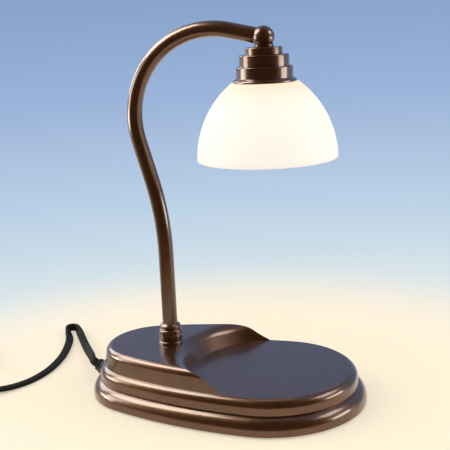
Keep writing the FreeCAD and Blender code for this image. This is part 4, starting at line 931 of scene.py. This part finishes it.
for n in range(len(coil_turns) * steps_round):
    turn, part = divmod(n, steps_round)
    radius, height = coil_turns[turn]
    next_radius, next_height = coil_turns[min(turn + 1, len(coil_turns) - 1)]
    over = max(0.0, (part / steps_round - step_over) / (1 - step_over))
    over = over * over * (3 - 2 * over)
    radius += (next_radius - radius) * over
    height += (next_height - height) * over
    radius /= math.cos(math.pi / steps_round)
    bearing = math.pi - 2 * math.pi * n / steps_round
    roll = 90 + 6 * math.sin(n * 1.7)      # on edge, and never quite even
    lead_b_route.append((coil_middle.x + radius * math.cos(bearing), radius * math.sin(bearing),
                         height, roll))
lead_b_route += [(-0.3057, 0.0090, 0.0098, 84), (-0.3054, 0.0230, 0.0096, 50), (-0.3046, 0.0360, 0.0084, 18),
                 (plug_mouth.x, plug_mouth.y - 0.010, plug_mouth.z, 0), (*plug_mouth, 0)]
lead_to_plug, plug_line = flat_flex("lead_to_plug", lead_b_route, steps=8)
coat(lead_to_plug, flex_jacket)
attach(lead_to_plug, "lamp")
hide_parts("cord_to_coil", "cord_coil", "cord_to_plug")


# ---- In-line switch ------------------------------------------
# Two moulded shells of black ABS, finely spark-textured, screwed together from below round the lead.
# A glossier rocker stands in the lid; the lid has three grip ribs at each side of it.
shell_black, shader, place = new_finish("shell_black", 0.5)
tinted(shader, grain(place, 0.006, 6.0), (0.3, 26, 25, 26), (0.7, 38, 37, 37))
dulled(shader, grain(place, 0.002, 3.0), 0.42, 0.58)
relief(shader, grain(place, 0.0004, 2.0), 0.00008, 0.7)
for node in ("switch_base", "switch_lid"):
    dress(node, shell_black)
rocker_black, shader, place = new_finish("rocker_black", 0.24)
tinted(shader, grain(place, 0.004, 5.0), (0.3, 22, 22, 23), (0.7, 33, 33, 34))
dulled(shader, grain(place, 0.003, 4.0), 0.18, 0.34)
dress("switch_rocker", rocker_black)
dress("switch_screws", plated)
dress("switch_contacts", brass)


def on_top(node, x, y):
    """The spot where a plumb line through x, y meets the top of a CAD piece, and which way it faces."""
    _, spot, facing, _ = parts[node].ray_cast(Vector((x, y, 0.5)), Vector((0.0, 0.0, -1.0)))
    return spot, facing


def along_switch(far, aside):
    """A place on the switch, from its mouth along its length and aside from its middle line."""
    ahead, left = math.cos(heading), math.sin(heading)
    return switch_mouth.x + far * ahead - aside * left, switch_mouth.y + far * left + aside * ahead


ring_profile = [(0.0010, 0.0), (0.0010, 0.00016), (0.00115, 0.0002),
                (0.00135, 0.0002), (0.0015, 0.00016), (0.0015, 0.0)]
off_mark = turned("off_mark", ring_profile, (0.0, 0.0), steps=32, smooth=50)
on_mark = block("on_mark", (0.0005, 0.0030, 0.0004), (0.0, 0.0, 0.0), bevel=0.00008)
for far, mark in ((0.0252, off_mark), (0.0348, on_mark)):
    spot, facing = on_top("switch_rocker", *along_switch(far, 0.0))
    lean = Vector((0.0, 0.0, 1.0)).rotation_difference(facing).to_matrix().to_4x4()
    mark.data.transform(Matrix.Translation(spot) @ lean @ Matrix.Rotation(heading, 4, "Z"))
rocker_marks = joined("rocker_marks", [off_mark, on_mark])
mark_white, shader, place = new_finish("mark_white", 0.4)
tinted(shader, grain(place, 0.001, 4.0), (0.3, 206, 205, 200), (0.7, 228, 227, 222))
coat(rocker_marks, mark_white)
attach(rocker_marks, "rocker")

ribs = []
for side in (1, -1):
    for far in (0.0150, 0.0168, 0.0186, 0.0414, 0.0432, 0.0450):
        spot, _ = on_top("switch_lid", *along_switch(far, side * 0.0040))
        ribs.append(block("rib", (0.0008, 0.0070, 0.0008), spot, turn=heading, bevel=0.0002))
grip_ribs = joined("switch_grip_ribs", ribs)
coat(grip_ribs, shell_black)
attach(grip_ribs, "lamp")


# ---- Plug ----------------------------------------------------
# Two-pin plug moulded on to the flex in black PVC, with flat brass blades, one the wider.
# Ridges round its neck and finger grips on its upper face help to pull it.
plug_vinyl, shader, place = new_finish("plug_vinyl", 0.46)
tinted(shader, grain(place, 0.005, 6.0), (0.3, 25, 24, 24), (0.7, 40, 38, 37))
dulled(shader, grain(place, 0.002, 3.0), 0.38, 0.56)
relief(shader, grain(place, 0.0005, 2.0), 0.00006, 0.6)
dress("plug_body", plug_vinyl)
blade_brass, shader, place = new_finish("nickelled_brass", 0.24, 1.0)
tinted(shader, grain(place, 0.003, 5.0), (0.3, 186, 176, 150), (0.7, 214, 208, 190))
dulled(shader, grain(place, 0.0012, 3.0, (1.0, 7.0, 1.0)), 0.16, 0.36)
dress("plug_blades", blade_brass)
upper_face = 0.00672
ridges = []
for n, far in enumerate((0.0022, 0.0046, 0.0070)):
    neck_half = 0.0047 + 0.0019 * far / 0.009      # the neck widens away from the flex
    ridges.append(block("ridge", (2 * neck_half + 0.0010, 0.0011, 0.0120 + 0.0003 * n),
                        plug_mouth + Vector((0.0, far, 0.0)), bevel=0.0005))
for far in (0.0176, 0.0198, 0.0220, 0.0242):
    ridges.append(block("grip", (0.0120, 0.0009, 0.0008),
                        plug_mouth + Vector((0.0, far, upper_face)), bevel=0.0002))
plug_ridges = joined("plug_ridges", ridges)
coat(plug_ridges, plug_vinyl)
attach(plug_ridges, "lamp")


# ---- Coil strap ----------------------------------------------
# Strap of soft black vinyl round the coiled flex, 5 mm wide, pulled through its own slotted head.
strap_width, strap_edge = 0.0050, 0.0009
tie_low, tie_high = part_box("coil_tie")
middle_x, middle_z = (tie_low.x + tie_high.x) / 2, (tie_low.z + tie_high.z) / 2
half_x, half_z = (tie_high.x - tie_low.x) / 2 - strap_edge, (tie_high.z - tie_low.z) / 2 - strap_edge
bm = bmesh.new()
corners = [bm.verts.new((middle_x + sx * half_x, -strap_width / 2, middle_z + sz * half_z))
           for sx, sz in ((1, 1), (-1, 1), (-1, -1), (1, -1))]
for a, b in zip(corners, corners[1:] + corners[:1]):
    bm.edges.new((a, b))
bmesh.ops.bevel(bm, geom=corners, offset=0.0034, offset_type="OFFSET", affect="VERTICES",
                segments=6, profile=0.5, material=-1)
drawn = bmesh.ops.extrude_edge_only(bm, edges=bm.edges[:])
far_edge = [v for v in drawn["geom"] if isinstance(v, bmesh.types.BMVert)]
bmesh.ops.translate(bm, verts=far_edge, vec=(0.0, strap_width, 0.0))
bmesh.ops.recalc_face_normals(bm, faces=bm.faces)
bmesh.ops.solidify(bm, geom=bm.faces[:], thickness=-0.0008)
strap_band = finished(bm, "strap_band", smooth=40)
strap_head = block("strap_head", (0.0078, 0.0076, 0.0024), (middle_x, 0.0, tie_high.z - 0.0012), bevel=0.0005)
coil_strap = joined("coil_strap", [strap_band, strap_head])
strap_vinyl, shader, place = new_finish("strap_vinyl", 0.5)
tinted(shader, grain(place, 0.003, 5.0), (0.3, 30, 29, 29), (0.7, 46, 44, 43))
relief(shader, grain(place, 0.0006, 3.0, (1.0, 6.0, 1.0)), 0.0001, 0.6)
coat(coil_strap, strap_vinyl)
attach(coil_strap, "lamp")
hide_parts("coil_tie")
